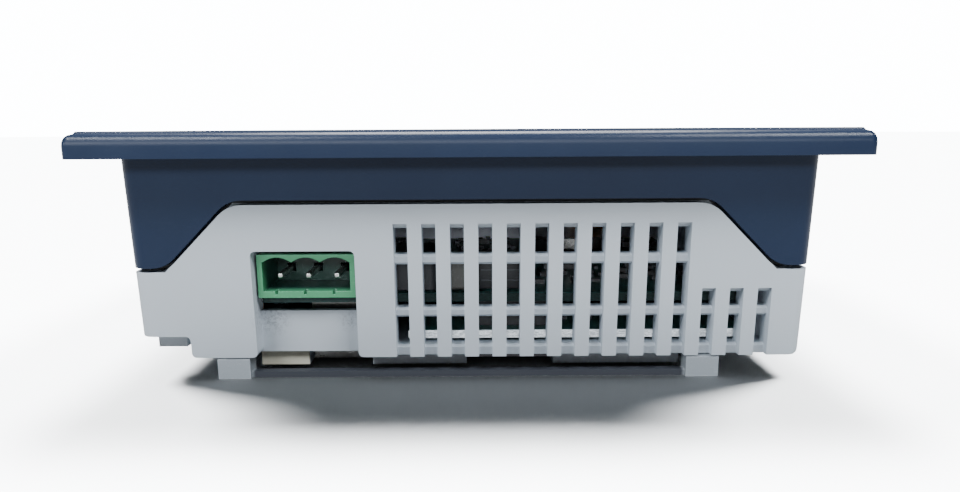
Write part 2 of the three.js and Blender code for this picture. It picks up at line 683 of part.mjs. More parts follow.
function serialPort() {
  const { x, y, width, depth } = SERIAL;
  const flange = slab(x, y, width, depth, 7.2, 8);
  const rear = slab(x, y, 20, 10.6, 7.9, CONNECTOR_TOP);
  const shell = prismAlongZ([
    [x - 8.2, y - 3.9, 1.6], [x + 8.2, y - 3.9, 1.6], [x + 9.3, y + 3.9, 1.6], [x - 9.3, y + 3.9, 1.6],
  ], CONNECTOR_MOUTH, 7.3);
  let port = join(flange, rear, shell);
  const contact = 2.76;
  for (let i = 0; i < 9; i += 1) {
    const upper = i < 5;
    const column = upper ? i - 2 : i - 5 - 1.5;
    port = cut(port, rod(x + column * contact, y + (upper ? 1.42 : -1.42), 0.6, 0, 6, 8));
  }
  for (const side of [-1, 1]) {
    port = cut(port, rod(x + side * 12.5, y, 1.6, 6, 9, 12));
  }
  return port;
}

function jackscrew(side) {
  const x = SERIAL.x + side * 12.5;
  const hex = rod(x, SERIAL.y, 2.75, 2.0, 6.9, 6);
  const bore = rod(x, SERIAL.y, 1.2, 0, 5.6, 10);
  return cut(join(hex, rod(x, SERIAL.y, 1.25, 6.8, 11.5, 10)), bore);
}

function dipSwitchBody() {
  let body = slab(DIP.x, DIP.y, DIP.width, DIP.depth, DIP.z0, DIP.z1);
  for (let i = 0; i < 4; i += 1) {
    const x = DIP.x + (i - 1.5) * DIP_PITCH;
    body = cut(body, slab(x, DIP.y, 1.7, 2 * GAP + 1.4 + 2 * DIP_TRAVEL, 0, 3.9));
  }
  return body;
}

function dipSlider(i) {
  const x = DIP.x + (i - 1.5) * DIP_PITCH;
  return slab(x, DIP.y - DIP_TRAVEL, 1.1, 1.4, 1.6, 3.6);
}

function resetSwitchBody() {
  const body = slab(RESET.x, RESET.y, RESET.size, RESET.size, RESET.z0, RESET.z1);
  return cut(body, rod(RESET.x, RESET.y, RESET.stem + GAP, 0, 4.8, 16));
}

function resetButton() {
  return rod(RESET.x, RESET.y, RESET.stem, CONNECTOR_MOUTH, 4.0, 16);
}

function cellHolder() {
  const { radius, bore, height, floor, gate } = CELL_HOLDER;
  const { x, y } = CELL;
  const base = MAIN_BOARD.z1 + GAP;
  const recess = rod(x, y, bore, base + floor, base + height + 1, 28);
  const opening = slab(x, y - radius, gate, 8, base + floor, base + height + 1);
  return cut(rod(x, y, radius, base, base + height, 28), recess, opening);
}

function coinCell() {
  const base = MAIN_BOARD.z1 + CELL_HOLDER.floor + 2 * GAP;
  return rod(CELL.x, CELL.y, CELL.radius, base, base + CELL.thickness, 28);
}

// can with a pinched foot and a rolled top edge
function bulkCapacitor() {
  const { x, y, radius, height } = BULK_CAPACITOR;
  const pinch = radius - 0.4;
  const profile = [
    [0, 0], [pinch, 0], [radius, 0.4], [radius, 1.6], [pinch, 2], [radius, 2.4],
    [radius, height - 0.4], [radius - 0.5, height], [0, height],
  ].map(([r, z]) => new THREE.Vector2(r, z));
  const geometry = new THREE.LatheGeometry(profile, 20);
  geometry.rotateX(Math.PI / 2);
  geometry.translate(x, y, MAIN_BOARD.z1 + GAP);
  return solidOf(geometry);
}

// ---------------------------------------------------------------- foot frame
function footFrame() {
  const { x0, x1, halfY, foot, footDepth, bar } = FOOT_FRAME;
  const railWidth = 3.4;
  const barInset = 0.7;
  const barReach = 2.3;
  let frame = cut(
    block(x0, x1, barInset - halfY, halfY - barInset, 0, bar),
    block(x0 + railWidth, x1 - railWidth, barReach - halfY, halfY - barReach, -1, bar + 1),
  );
  for (const side of [-1, 1]) {
    const y0 = side < 0 ? -halfY : halfY - footDepth;
    for (const x of [x0, x1 - foot]) {
      frame = join(frame, block(x, x + foot, y0, y0 + footDepth, 0, REAR_FACE - GAP));
    }
  }
  for (const [x, y] of footFrameScrewPlaces()) {
    frame = join(frame, slab(x, y, railWidth - 0.4, 6, 0.2, REAR_FACE - GAP));
    frame = cut(frame, join(rod(x, y, 1.35, -1, 1.6, 12), rod(x, y, 0.9, 1, 5, 12)));
  }
  return frame;
}

// ---------------------------------------------------------------- assembly
const terminal = new THREE.Group();

function add(name, solid, finish) {
  const mesh = new THREE.Mesh(geometryOf(solid), new THREE.MeshStandardMaterial(finish));
  mesh.name = name;
  terminal.add(mesh);
}

function addHousing() {
  add('front_frame', frontFrame(), NAVY);
  add('rear_cover', rearCover(), COVER_GREY);
  add('flange_gasket', gasketRing(2.6, 1.0, FLANGE_UNDERSIDE + 0.05, FLANGE_UNDERSIDE + 1.1), FOAM);
  add('rear_foot_frame', footFrame(), FOOT_GREY);
  const label = block(LABEL.x0, LABEL.x1, LABEL.y0, LABEL.y1, PAD_FACE, PAD_FACE + LABEL.thickness);
  add('rating_label', label, PAPER);
  coverScrewPlaces().forEach(([x, y, seat], i) => {
    const { head, shank, length } = COVER_SCREW;
    const screw = panScrew(x, y, seat + 0.8, -1, head, 1.6, shank, length);
    const recess = crossRecess(x, y, head, seat - 2, seat);
    add(`cover_screw_${i + 1}`, cut(screw, recess), STEEL);
  });
}

function addDisplay() {
  add('front_overlay', frontOverlay(), OVERLAY_FILM);
  const { x, y, z0, z1 } = TOUCH_GLASS;
  add('touch_panel_glass', slab(0, 0, x, y, z0, z1), DARK_GLASS);
  const gasket = flatRing(TOUCH_GASKET.x, TOUCH_GASKET.y, VIEW_AREA.x + 1, VIEW_AREA.y + 1,
    TOUCH_GASKET.z0, TOUCH_GASKET.z1);
  add('touch_gasket', gasket, FOAM);
  add('touch_tail', touchTail(), AMBER_FILM);
  add('lcd_frame', lcdFrame(), STEEL);
  add('lcd_glass', lcdGlass(), DARK_GLASS);
  add('lcd_flex', lcdFlex(), AMBER_FILM);
  add('lcd_bracket', lcdBracket(), STEEL);
  mirroredPlaces(BRACKET_BOSS.x, BRACKET_BOSS.y).forEach(([sx, sy], i) => {
    const screw = panScrew(sx, sy, BRACKET.z0 - GAP, -1, 2, 1.4, 0.9, 4.6);
    add(`bracket_screw_${i + 1}`, screw, STEEL);
  });
}

function addBoards() {
  const onBoard = MAIN_BOARD.z1 + GAP;
  add('main_board', mainBoard(), BOARD_GREEN);
  add('io_board', ioBoard(), BOARD_GREEN);
  PILLARS.forEach(([x, y], i) => {
    add(`board_pillar_${i + 1}`, boardPillar(x, y), BRASS);
    add(`board_screw_${i + 1}`, panScrew(x, y, onBoard, 1, 2.4, 1.6, 1.0, 5), STEEL);
  });
  const part = ({ x, y, width, depth, size, height }) => slab(
    x, y, width ?? size, depth ?? size, onBoard, onBoard + height);
  add('processor_chip', part(PROCESSOR), SLATE);
  add('memory_chip', part(MEMORY), SLATE);
  add('film_capacitor', part(FILM_CAPACITOR), BEIGE);
  add('bulk_capacitor', bulkCapacitor(), SLATE);
  const { x: coilX, y: coilY, size, height } = INDUCTOR;
  const coil = roundedPlate(size, size, 1.5, onBoard, onBoard + height);
  add('power_inductor', coil.translate([coilX, coilY, 0]), SLATE);
  add('link_header', part(LINK_HEADER), BLACK_PLASTIC);
  add('cell_holder', cellHolder(), BLACK_PLASTIC);
  add('coin_cell', coinCell(), TIN);
}

function addConnectors() {
  add('power_header', powerHeader(), GREEN_PLASTIC);
  [-1, 0, 1].forEach((step, i) => {
    add(`header_pin_${i + 1}`, headerPin(HEADER_X + step * PITCH), TIN);
  });
  add('ethernet_jack', ethernetJack(), BLACK_PLASTIC);
  add('usb_port', usbPort(), STEEL);
  add('serial_port', serialPort(), TIN);
  [-1, 1].forEach((side, i) => {
    add(`serial_jackscrew_${i + 1}`, jackscrew(side), GOLD);
  });
}

function addSwitches() {
  add('dip_switch_body', dipSwitchBody(), BLACK_PLASTIC);
  for (let i = 0; i < 4; i += 1) {
    add(`dip_slider_${i + 1}`, dipSlider(i), WHITE_PLASTIC);
  }
  add('reset_switch_body', resetSwitchBody(), STEEL);
  add('reset_button', resetButton(), BLACK_PLASTIC);
}

addHousing();
addDisplay();
addBoards();
addConnectors();
addSwitches();

export default terminal;
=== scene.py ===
import math
import random

import bmesh
import bpy
from bpy.props import FloatProperty, FloatVectorProperty, IntProperty, PointerProperty
from mathutils import Euler, Matrix, Vector


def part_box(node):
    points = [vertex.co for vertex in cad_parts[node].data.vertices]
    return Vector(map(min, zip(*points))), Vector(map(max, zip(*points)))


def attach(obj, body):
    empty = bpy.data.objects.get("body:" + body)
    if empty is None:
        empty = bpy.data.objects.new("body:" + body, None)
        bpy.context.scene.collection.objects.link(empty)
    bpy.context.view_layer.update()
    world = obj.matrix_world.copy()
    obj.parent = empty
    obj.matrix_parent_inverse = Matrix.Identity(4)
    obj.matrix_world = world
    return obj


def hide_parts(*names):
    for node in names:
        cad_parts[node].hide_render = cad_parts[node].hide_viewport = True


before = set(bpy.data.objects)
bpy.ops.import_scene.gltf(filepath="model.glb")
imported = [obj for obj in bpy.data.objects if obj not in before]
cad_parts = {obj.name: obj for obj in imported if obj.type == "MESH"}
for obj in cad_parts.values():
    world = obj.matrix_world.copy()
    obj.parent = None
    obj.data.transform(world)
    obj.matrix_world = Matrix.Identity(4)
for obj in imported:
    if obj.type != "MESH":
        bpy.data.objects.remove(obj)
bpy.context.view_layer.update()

bl_info = {
    "name": "Operator Terminal Finisher",
    "version": (1, 0, 0),
    "blender": (4, 5, 0),
    "location": "View3D > Sidebar > Terminal",
    "description": "Finishes a panel-mount operator terminal on its packed frame",
    "category": "Object",
}

HOUSING = "housing"
MM = 0.001
DEGREE = math.radians(1.0)


# ---------------------------------------------------------------- settings
def colour_setting(name, description, default):
    return FloatVectorProperty(
        name=name, description=description, default=default, size=3, min=0.0, max=1.0,
        subtype="COLOR")


def length_setting(name, description, default):
    return FloatProperty(
        name=name, description=description, default=default, min=0.0, unit="LENGTH",
        subtype="DISTANCE")


def angle_setting(name, description, degrees):
    return FloatProperty(
        name=name, description=description, default=degrees * DEGREE, unit="ROTATION",
        subtype="ANGLE")


def power_setting(name, description, default):
    return FloatProperty(
        name=name, description=description, default=default, min=0.0, unit="POWER")


def strength_setting(name, description, default):
    return FloatProperty(name=name, description=description, default=default, min=0.0)


class HousingSettings(bpy.types.PropertyGroup):
    """Edge size and colours of the moulded housing."""
    navy: colour_setting("Navy", "Moulded front frame", (0.0058, 0.0130, 0.0325))
    light_grey: colour_setting("Light grey", "Moulded rear cover", (0.54, 0.595, 0.65))
    foot_grey: colour_setting("Foot grey", "Moulded foot frame", (0.17, 0.19, 0.21))
    edge_radius: length_setting("Edge radius", "Rounding of the moulded edges", 0.28 * MM)


class DisplaySettings(bpy.types.PropertyGroup):
    """Sizes and colours of the display stack."""
    film: colour_setting("Film", "Printed front film", (0.012, 0.017, 0.028))
    border: length_setting("Border", "Width of the line printed round the view area", 0.5 * MM)
    view_width: length_setting("View width", "Width of the view area", 95.5 * MM)
    view_depth: length_setting("View depth", "Depth of the view area", 54.5 * MM)
    glass: colour_setting("Glass", "Unlit display", (0.006, 0.007, 0.009))


class BoardSettings(bpy.types.PropertyGroup):
    """Colour and density of the circuit boards."""
    mask: colour_setting("Solder mask", "Lacquer on the boards", (0.006, 0.032, 0.030))
    parts: IntProperty(
        name="Small parts", description="Surface-mounted parts per board", default=90, min=0)


class ConnectorSettings(bpy.types.PropertyGroup):
    """Colours of the connectors."""
    header: colour_setting("Header green", "Power header nylon", (0.030, 0.175, 0.078))
    nylon: colour_setting("Black nylon", "Port housings", (0.005, 0.006, 0.009))


class StageSettings(bpy.types.PropertyGroup):
    """Camera, floor and studio light."""
    eye: FloatVectorProperty(
        name="Eye", description="Camera position", default=(0.0016, -0.1563, 0.0441), size=3,
        unit="LENGTH", subtype="TRANSLATION")
    pitch: angle_setting("Pitch", "How far the camera looks down", 10.19)
    roll: angle_setting("Roll", "Turn of the camera about its view axis", -0.34)
    lens: FloatProperty(
        name="Lens", description="Focal length on a 36 mm sensor", default=24.525, unit="CAMERA")
    floor: colour_setting("Floor", "Pale studio floor", (0.60, 0.611, 0.618))
    bounce: FloatProperty(
        name="Bounce", description="Share of its light that the floor throws back up",
        default=0.12, min=0.0, max=1.0, subtype="FACTOR")
    key: strength_setting("Overhead light", "Strength of the light above and behind", 8.0)
    floor_light: strength_setting(
        "Floor light", "Strength of the light that falls on the floor only", 67.0)
    elevation: angle_setting(
        "Elevation", "Height of the overhead light above the horizon", 60.0)
    spread: angle_setting("Spread", "Softness of the shadow on the floor", 18.0)
    fill: power_setting("Front lights", "Power of each of the two lights in front", 16.5)
    strip: power_setting(
        "Edge light", "Power of the strip that draws a line on rounded edges", 16.0)
    inner: power_setting(
        "Inner light", "Power of the light that reaches in through the grille", 8.0)
    sky: strength_setting("Surroundings", "Strength of the light from all round", 0.09)
    backdrop: strength_setting(
        "Backdrop", "How bright the surroundings look behind the object", 16.0)


# ---------------------------------------------------------------- mesh helpers
def new_piece(name, mesh, body, material, replaced=()):
    """Object that rides on a body, takes a material and may stand for CAD nodes."""
    piece = bpy.data.objects.new(name, mesh)
    bpy.context.scene.collection.objects.link(piece)
    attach(piece, body)
    if replaced:
        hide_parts(*replaced)
    mesh.materials.clear()
    mesh.materials.append(material)
    return piece


def mesh_from(work, name):
    """Mesh of a finished bmesh, smooth across its soft edges only."""
    bmesh.ops.recalc_face_normals(work, faces=work.faces)
    mesh = bpy.data.meshes.new(name)
    work.to_mesh(mesh)
    work.free()
    mesh.shade_smooth()
    mesh.set_sharp_from_angle(angle=35 * DEGREE)
    return mesh


def weight_normals(piece):
    """Keeps large flat faces flat in the light, next to their rounded edges."""
    modifier = piece.modifiers.new("weighted_normals", "WEIGHTED_NORMAL")
    modifier.keep_sharp = True
    modifier.weight = 80


def bevel(work, edges, radius, segments=2, profile=0.6):
    bmesh.ops.bevel(
        work, geom=edges, offset=radius, segments=segments, profile=profile, affect="EDGES",
        clamp_overlap=True)


def round_edges(work, radius, segments=2):
    """Rounds every sharp edge."""
    sharp = [edge for edge in work.edges
             if len(edge.link_faces) == 2 and edge.calc_face_angle() > 30 * DEGREE]
    bevel(work, sharp, radius, segments)


def rounded_node(node, material, radius, segments=2, body=HOUSING):
    """Finished piece that stands for one CAD node: flat faces cleaned up, sharp edges rounded."""
    weld = 0.002 * MM
    work = bmesh.new()
    work.from_mesh(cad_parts[node].data)
    bmesh.ops.remove_doubles(work, verts=work.verts, dist=weld)
    bmesh.ops.dissolve_limit(work, angle_limit=DEGREE, verts=work.verts, edges=work.edges)
    round_edges(work, radius, segments)
    mesh = mesh_from(work, node + "_finished")
    weight_normals(new_piece(node + "_finished", mesh, body, material, [node]))


def add_box(work, low, high, radius=0.0):
    """Adds a box between two corners, with its edges rounded if asked."""
    low, high = Vector(low), Vector(high)
    place = Matrix.Translation((low + high) / 2) @ Matrix.Diagonal((*(high - low), 1.0))
    made = bmesh.ops.create_cube(work, size=1.0, matrix=place)
    if radius > 0:
        bevel(work, list({edge for vert in made["verts"] for edge in vert.link_edges}), radius)


def add_turned(work, profile, base, sides):
    """Adds a body of revolution; the profile is (radius, height) from the axis back to it."""
    rings = []
    for radius, height in profile:
        count = sides if radius > 0 else 1
        angles = [2 * math.pi * i / sides for i in range(count)]
        rings.append([work.verts.new(base + Vector((
            radius * math.cos(angle), radius * math.sin(angle), height))) for angle in angles])
    for lower, upper in zip(rings, rings[1:]):
        for i in range(sides):
            j = (i + 1) % sides
            corners = dict.fromkeys((
                lower[i % len(lower)], lower[j % len(lower)],
                upper[j % len(upper)], upper[i % len(upper)]))
            if len(corners) > 2:
                work.faces.new(corners)


def make_turned(node, shares, sides, material):
    """Round part in its node's place; shares are each ring's part of the radius and height."""
    low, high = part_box(node)
    radius, height = (high.x - low.x) / 2, high.z - low.z
    base = Vector(((low.x + high.x) / 2, (low.y + high.y) / 2, low.z))
    work = bmesh.new()
    add_turned(work, [(across * radius, up * height) for across, up in shares], base, sides)
    new_piece(node + "_finished", mesh_from(work, node), HOUSING, material, [node])


# ---------------------------------------------------------------- shader helpers
class Graph:
    """Short way to lay out the nodes of a material or of a node group."""

    def __init__(self, tree):
        self.tree = tree

    def node(self, kind, inputs=None, **settings):
        node = self.tree.nodes.new(kind)
        for name, value in settings.items():
            setattr(node, name, value)
        for key, value in (inputs or {}).items():
            if isinstance(value, bpy.types.NodeSocket):
                self.tree.links.new(value, node.inputs[key])
            else:
                node.inputs[key].default_value = value
        return node

    def math(self, operation, first, second=0.0, clamp=False):
        node = self.node(
            "ShaderNodeMath", {0: first, 1: second}, operation=operation, use_clamp=clamp)
        return node.outputs[0]

    def noise(self, position, scale, detail=3.0, roughness=0.55):
        node = self.node("ShaderNodeTexNoise", {
            "Vector": position, "Scale": scale, "Detail": detail, "Roughness": roughness})
        return node.outputs["Fac"]

    def span(self, value, low, high, to_low=0.0, to_high=1.0):
        """Maps low to to_low and high to to_high, and holds the ends."""
        node = self.node("ShaderNodeMapRange", {
            "Value": value, "From Min": low, "From Max": high,
            "To Min": to_low, "To Max": to_high})
        return node.outputs["Result"]

    def mix(self, factor, first, second):
        """Mixes two colours, each given as a socket or as three numbers."""
        node = self.node("ShaderNodeMix", data_type="RGBA")
        for key, value in (("Factor", factor), ("A", first), ("B", second)):
            socket = next(s for s in node.inputs if s.name == key and (
                s.type == "RGBA" or (key == "Factor" and s.type == "VALUE")))
            if isinstance(value, bpy.types.NodeSocket):
                self.tree.links.new(value, socket)
            elif key == "Factor":
                socket.default_value = value
            else:
                socket.default_value = (*value[:3], 1.0)
        return next(s for s in node.outputs if s.type == "RGBA")

    def position(self):
        return self.node("ShaderNodeTexCoord").outputs["Object"]

    def axes(self, vector):
        return self.node("ShaderNodeSeparateXYZ", {0: vector}).outputs

    def stretched(self, vector, scale):
        return self.node("ShaderNodeMapping", {"Vector": vector, "Scale": scale}).outputs[0]

    def normal(self):
        return self.node("ShaderNodeNewGeometry").outputs["Normal"]

    def beyond(self, place, half_x, half_y):
        """How far a place lies outside a rectangle about the middle."""
        axes = self.axes(place)
        return self.math(
            "MAXIMUM",
            self.math("SUBTRACT", self.math("ABSOLUTE", axes["X"]), half_x),
            self.math("SUBTRACT", self.math("ABSOLUTE", axes["Y"]), half_y))


def effect_group(name, inputs, outputs, build):
    """Node group with named inputs and outputs, built once."""
    if name in bpy.data.node_groups:
        return bpy.data.node_groups[name]
    tree = bpy.data.node_groups.new(name, "ShaderNodeTree")
    for label, default in inputs:
        socket = tree.interface.new_socket(
            name=label, in_out="INPUT", socket_type="NodeSocketFloat")
        socket.default_value = default
    for label in outputs:
        tree.interface.new_socket(name=label, in_out="OUTPUT", socket_type="NodeSocketFloat")
    source = tree.nodes.new("NodeGroupInput")
    sink = tree.nodes.new("NodeGroupOutput")
    results = build(Graph(tree), source.outputs)
    for label, value in results.items():
        tree.links.new(value, sink.inputs[label])
    return tree


def build_mould_grain(graph, given):
    """Fine sparked mould texture: a height and a slow tone variation."""
    place = graph.position()
    fine = graph.noise(place, given["Scale"], 2.0, 0.6)
    coarse = graph.noise(place, graph.math("MULTIPLY", given["Scale"], 0.31), 2.0, 0.5)
    height = graph.math(
        "ADD", graph.math("MULTIPLY", fine, 0.65), graph.math("MULTIPLY", coarse, 0.35))
    slow = graph.noise(place, 38.0, 3.0, 0.6)
    return {"Height": height, "Tone": graph.span(slow, 0.3, 0.7)}


def build_edge_wear(graph, given):
    """Mask of the outer edges, broken up so that they look rubbed."""
    place = graph.position()
    rounded = graph.node(
        "ShaderNodeBevel", {"Radius": given["Radius"]}, samples=4).outputs["Normal"]
    dot = graph.node(
        "ShaderNodeVectorMath", {0: rounded, 1: graph.normal()}, operation="DOT_PRODUCT")
    edge = graph.span(dot.outputs["Value"], 0.995, 0.90)
    broken = graph.span(graph.noise(place, given["Breakup"], 5.0, 0.7), 0.42, 0.62)
    return {"Mask": graph.math("MULTIPLY", edge, broken, clamp=True)}


def build_settled_dust(graph, given):
    """Dust that gathers on faces that look up and, thinly, in patches elsewhere."""
    place = graph.position()
    facing = graph.span(graph.axes(graph.normal())["Z"], 0.2, 0.95)
    speck = graph.span(graph.noise(place, 2600.0, 2.0, 0.5), 0.60, 0.70)
    patch = graph.span(graph.noise(place, 60.0, 4.0, 0.65), 0.15, 0.85)
    film = graph.math("MULTIPLY", graph.math("MAXIMUM", facing, 0.25), patch)
    total = graph.math("ADD", film, graph.math("MULTIPLY", speck, 0.5))
    return {"Mask": graph.math("MULTIPLY", total, given["Amount"], clamp=True)}


def build_handling(graph, given):
    """Smudges for the roughness, and sparse fine scuffs."""
    place = graph.position()
    stretched = graph.stretched(place, (0.25, 1.0, 1.6))
    smudge = graph.span(graph.noise(place, given["Scale"], 4.0, 0.6), 0.15, 0.85)
    streak = graph.noise(stretched, graph.math("MULTIPLY", given["Scale"], 22.0), 2.0, 0.4)
    zone = graph.span(graph.noise(place, given["Scale"], 2.0, 0.5), 0.55, 0.72)
    scuff = graph.math("MULTIPLY", graph.span(streak, 0.62, 0.70), zone, clamp=True)
    return {"Smudge": smudge, "Scuff": scuff}


def mould_grain():
    return effect_group(
        "mould_grain", [("Scale", 4500.0)], ["Height", "Tone"], build_mould_grain)


def edge_wear():
    return effect_group(
        "edge_wear", [("Radius", 0.4 * MM), ("Breakup", 900.0)], ["Mask"], build_edge_wear)


def settled_dust():
    return effect_group("settled_dust", [("Amount", 0.3)], ["Mask"], build_settled_dust)


def handling():
    return effect_group(
        "handling_marks", [("Scale", 90.0)], ["Smudge", "Scuff"], build_handling)


def start_material(name):
    """New material with a Principled shader; gives the graph and the shader node."""
    material = bpy.data.materials.new(name)
    material.use_nodes = True
    tree = material.node_tree
    tree.nodes.clear()
    graph = Graph(tree)
    shader = graph.node("ShaderNodeBsdfPrincipled")
    output = graph.node("ShaderNodeOutputMaterial")
    tree.links.new(shader.outputs[0], output.inputs["Surface"])
    return material, graph, shader


def place_group(graph, group, **inputs):
    """Places an effect with its own values; gives its outputs."""
    node = graph.node("ShaderNodeGroup")
    node.node_tree = group
    for name, value in inputs.items():
        node.inputs[name].default_value = value
    return node.outputs


def bump(graph, height, strength, distance):
    return graph.node("ShaderNodeBump", {
        "Height": height, "Strength": strength, "Distance": distance}).outputs["Normal"]


def shade(colour, factor):
    """Lighter or darker copy of a colour."""
    return tuple(min(channel * factor, 1.0) for channel in colour[:3])


def connect(graph, shader, **sources):
    """Links each source to the shader's socket of that name, with _ for a space."""
    for name, source in sources.items():
        graph.tree.links.new(source, shader.inputs[name.replace("_", " ")])


def moulded_material(name, colour, roughness, grain, grain_depth, worn, dust, tone,
                     worn_colour=None, specular=0.5, dim=None):
    """Injection-moulded plastic with sparked grain, rubbed edges, dust and smudges.

    grain is the texture's scale, worn and dust are amounts, tone is the slow drift of the
    colour. dim, when given, takes the graph and the colour, and gives the colour changed in
    places: painted shade in some, marks in others.
    """
    if name in bpy.data.materials:
        return bpy.data.materials[name]
    material, graph, shader = start_material(name)
    texture = place_group(graph, mould_grain(), Scale=grain)
    edge = place_group(graph, edge_wear(), Radius=0.45 * MM, Breakup=700.0)
    dusty = place_group(graph, settled_dust(), Amount=dust)
    marks = place_group(graph, handling(), Scale=85.0)
    base = graph.mix(texture["Tone"], shade(colour, 1 - tone), shade(colour, 1 + tone))
    rub = worn_colour or shade(colour, 1.5)
    rubbed = graph.mix(graph.math("MULTIPLY", edge["Mask"], worn), base, rub)
    scuffed = graph.mix(graph.math("MULTIPLY", marks["Scuff"], worn * 0.6), rubbed, rub)
    finished = graph.mix(dusty["Mask"], scuffed, (0.55, 0.56, 0.56))
    if dim:
        finished = dim(graph, finished)
    rough = graph.span(marks["Smudge"], 0.0, 1.0, roughness - 0.06, roughness + 0.07)
    connect(graph, shader, Base_Color=finished,
            Roughness=graph.math("ADD", rough, graph.math("MULTIPLY", dusty["Mask"], 0.2)),
            Normal=bump(graph, texture["Height"], 0.6, grain_depth))
    shader.inputs["Specular IOR Level"].default_value = specular
    return material


def metal_material(name, colour, roughness, brushed, tarnish, metallic=1.0):
    """Plated or turned metal with fine lines, tarnish and smudges."""
    if name in bpy.data.materials:
        return bpy.data.materials[name]
    material, graph, shader = start_material(name)
    lines = graph.noise(graph.stretched(graph.position(), (1.0, 14.0, 14.0)), 700.0, 3.0, 0.6)
    marks = place_group(graph, handling(), Scale=140.0)
    edge = place_group(graph, edge_wear(), Radius=0.25 * MM, Breakup=1200.0)
    stain = graph.math("MULTIPLY", marks["Smudge"], tarnish)
    dull = graph.mix(stain, colour, shade(colour, 0.45))
    finished = graph.mix(graph.math("MULTIPLY", edge["Mask"], 0.5), dull, shade(colour, 1.35))
    rough = graph.span(marks["Smudge"], 0, 1, roughness - 0.05, roughness + 0.12)
    connect(graph, shader, Base_Color=finished,
            Roughness=graph.math("ADD", rough, graph.math("MULTIPLY", lines, brushed)),
            Normal=bump(graph, lines, 0.25, 0.01 * MM))
    shader.inputs["Metallic"].default_value = metallic
    return material


def board_material(name, mask, edge_tones):
    """Glass-fibre board: lacquer over copper tracks and pads, and the laminate's cut edge."""
    if name in bpy.data.materials:
        return bpy.data.materials[name]
    material, graph, shader = start_material(name)
    place = graph.position()
    black, grey, white = (0, 0, 0, 1), (0.4, 0.4, 0.4, 1), (1, 1, 1, 1)
    tracks = graph.node("ShaderNodeTexBrick", {
        "Vector": place, "Scale": 420.0, "Mortar Size": 0.035, "Brick Width": 0.9,
        "Row Height": 0.32, "Color1": black, "Color2": grey, "Mortar": white}).outputs["Fac"]
    pour = graph.span(graph.noise(place, 130.0, 2.0, 0.4), 0.47, 0.50)
    copper = graph.math(
        "MAXIMUM", graph.math("MULTIPLY", tracks, 0.7), graph.math("MULTIPLY", pour, 0.6))
    lacquer = graph.mix(copper, mask, shade(mask, 2.1))
    vias = graph.node("ShaderNodeTexVoronoi", {"Vector": place, "Scale": 210.0}).outputs["Distance"]
    dotted = graph.mix(graph.span(vias, 0.14, 0.10), lacquer, shade(mask, 3.4))
    upright = graph.math("ABSOLUTE", graph.axes(graph.normal())["Z"])
    side = graph.span(upright, 0.6, 0.3)
    fibre = graph.noise(graph.stretched(place, (1.0, 1.0, 3.0)), 1500.0, 4.0, 0.7)
    laminate = graph.mix(graph.span(fibre, 0.40, 0.62), *edge_tones)
    dusty = place_group(graph, settled_dust(), Amount=0.05)
    connect(graph, shader,
            Base_Color=graph.mix(
                dusty["Mask"], graph.mix(side, dotted, laminate), (0.3, 0.3, 0.3)),
            Roughness=graph.span(side, 0.0, 1.0, 0.4, 0.8),
            Normal=bump(graph, copper, 0.5, 0.03 * MM))
    shader.inputs["Specular IOR Level"].default_value = 0.3
    return material


def film_material(settings):
    """Printed front film with a fine line round the view area."""
    material, graph, shader = start_material("printed_film")
    line_gap = 1.6 * MM
    beyond = graph.beyond(graph.position(), settings.view_width / 2, settings.view_depth / 2)
    off_line = graph.math("ABSOLUTE", graph.math("SUBTRACT", beyond, line_gap))
    line = graph.span(off_line, settings.border * 0.6, settings.border * 0.4)
    texture = place_group(graph, mould_grain(), Scale=9000.0)
    dusty = place_group(graph, settled_dust(), Amount=0.025)
    marks = place_group(graph, handling(), Scale=70.0)
    toned = graph.mix(texture["Tone"], shade(settings.film, 0.92), shade(settings.film, 1.1))
    lined = graph.mix(line, toned, (0.16, 0.19, 0.23))
    connect(graph, shader, Base_Color=graph.mix(dusty["Mask"], lined, (0.5, 0.5, 0.5)),
            Roughness=graph.span(marks["Smudge"], 0, 1, 0.26, 0.42),
            Normal=bump(graph, texture["Height"], 0.35, 0.008 * MM))
    return material


def dark_glass_material(name, colour, view_half=None):
    """Unlit display seen through its touch sheet: near black, with faint finger marks.

    view_half, when given, is half the width and depth of the area that is a little lighter.
    """
    material, graph, shader = start_material(name)
    marks = place_group(graph, handling(), Scale=55.0)
    base = colour
    if view_half is not None:
        inset, soft = 1.2 * MM, 0.05 * MM
        beyond = graph.beyond(graph.position(), *(half - inset for half in view_half))
        base = graph.mix(graph.span(beyond, -soft, soft), shade(colour, 2.2), colour)
    dusty = place_group(graph, settled_dust(), Amount=0.012)
    connect(graph, shader, Base_Color=graph.mix(dusty["Mask"], base, (0.5, 0.5, 0.5)),
            Roughness=graph.span(marks["Smudge"], 0, 1, 0.06, 0.16))
    shader.inputs["Coat Weight"].default_value = 0.4
    return material


def floor_material(colour, bounce):
    """Pale paper floor, slightly mottled, which throws only part of its light back up."""
    material, graph, shader = start_material("studio_floor")
    mottle = graph.noise(graph.position(), 9.0, 2.0, 0.5)
    paper = graph.mix(mottle, shade(colour, 0.985), shade(colour, 1.015))
    seen = graph.node("ShaderNodeLightPath").outputs["Is Camera Ray"]
    connect(graph, shader, Base_Color=graph.mix(seen, shade(colour, bounce), paper),
            Roughness=graph.span(mottle, 0, 1, 0.75, 0.85))
    shader.inputs["Specular IOR Level"].default_value = 0.1
    return material


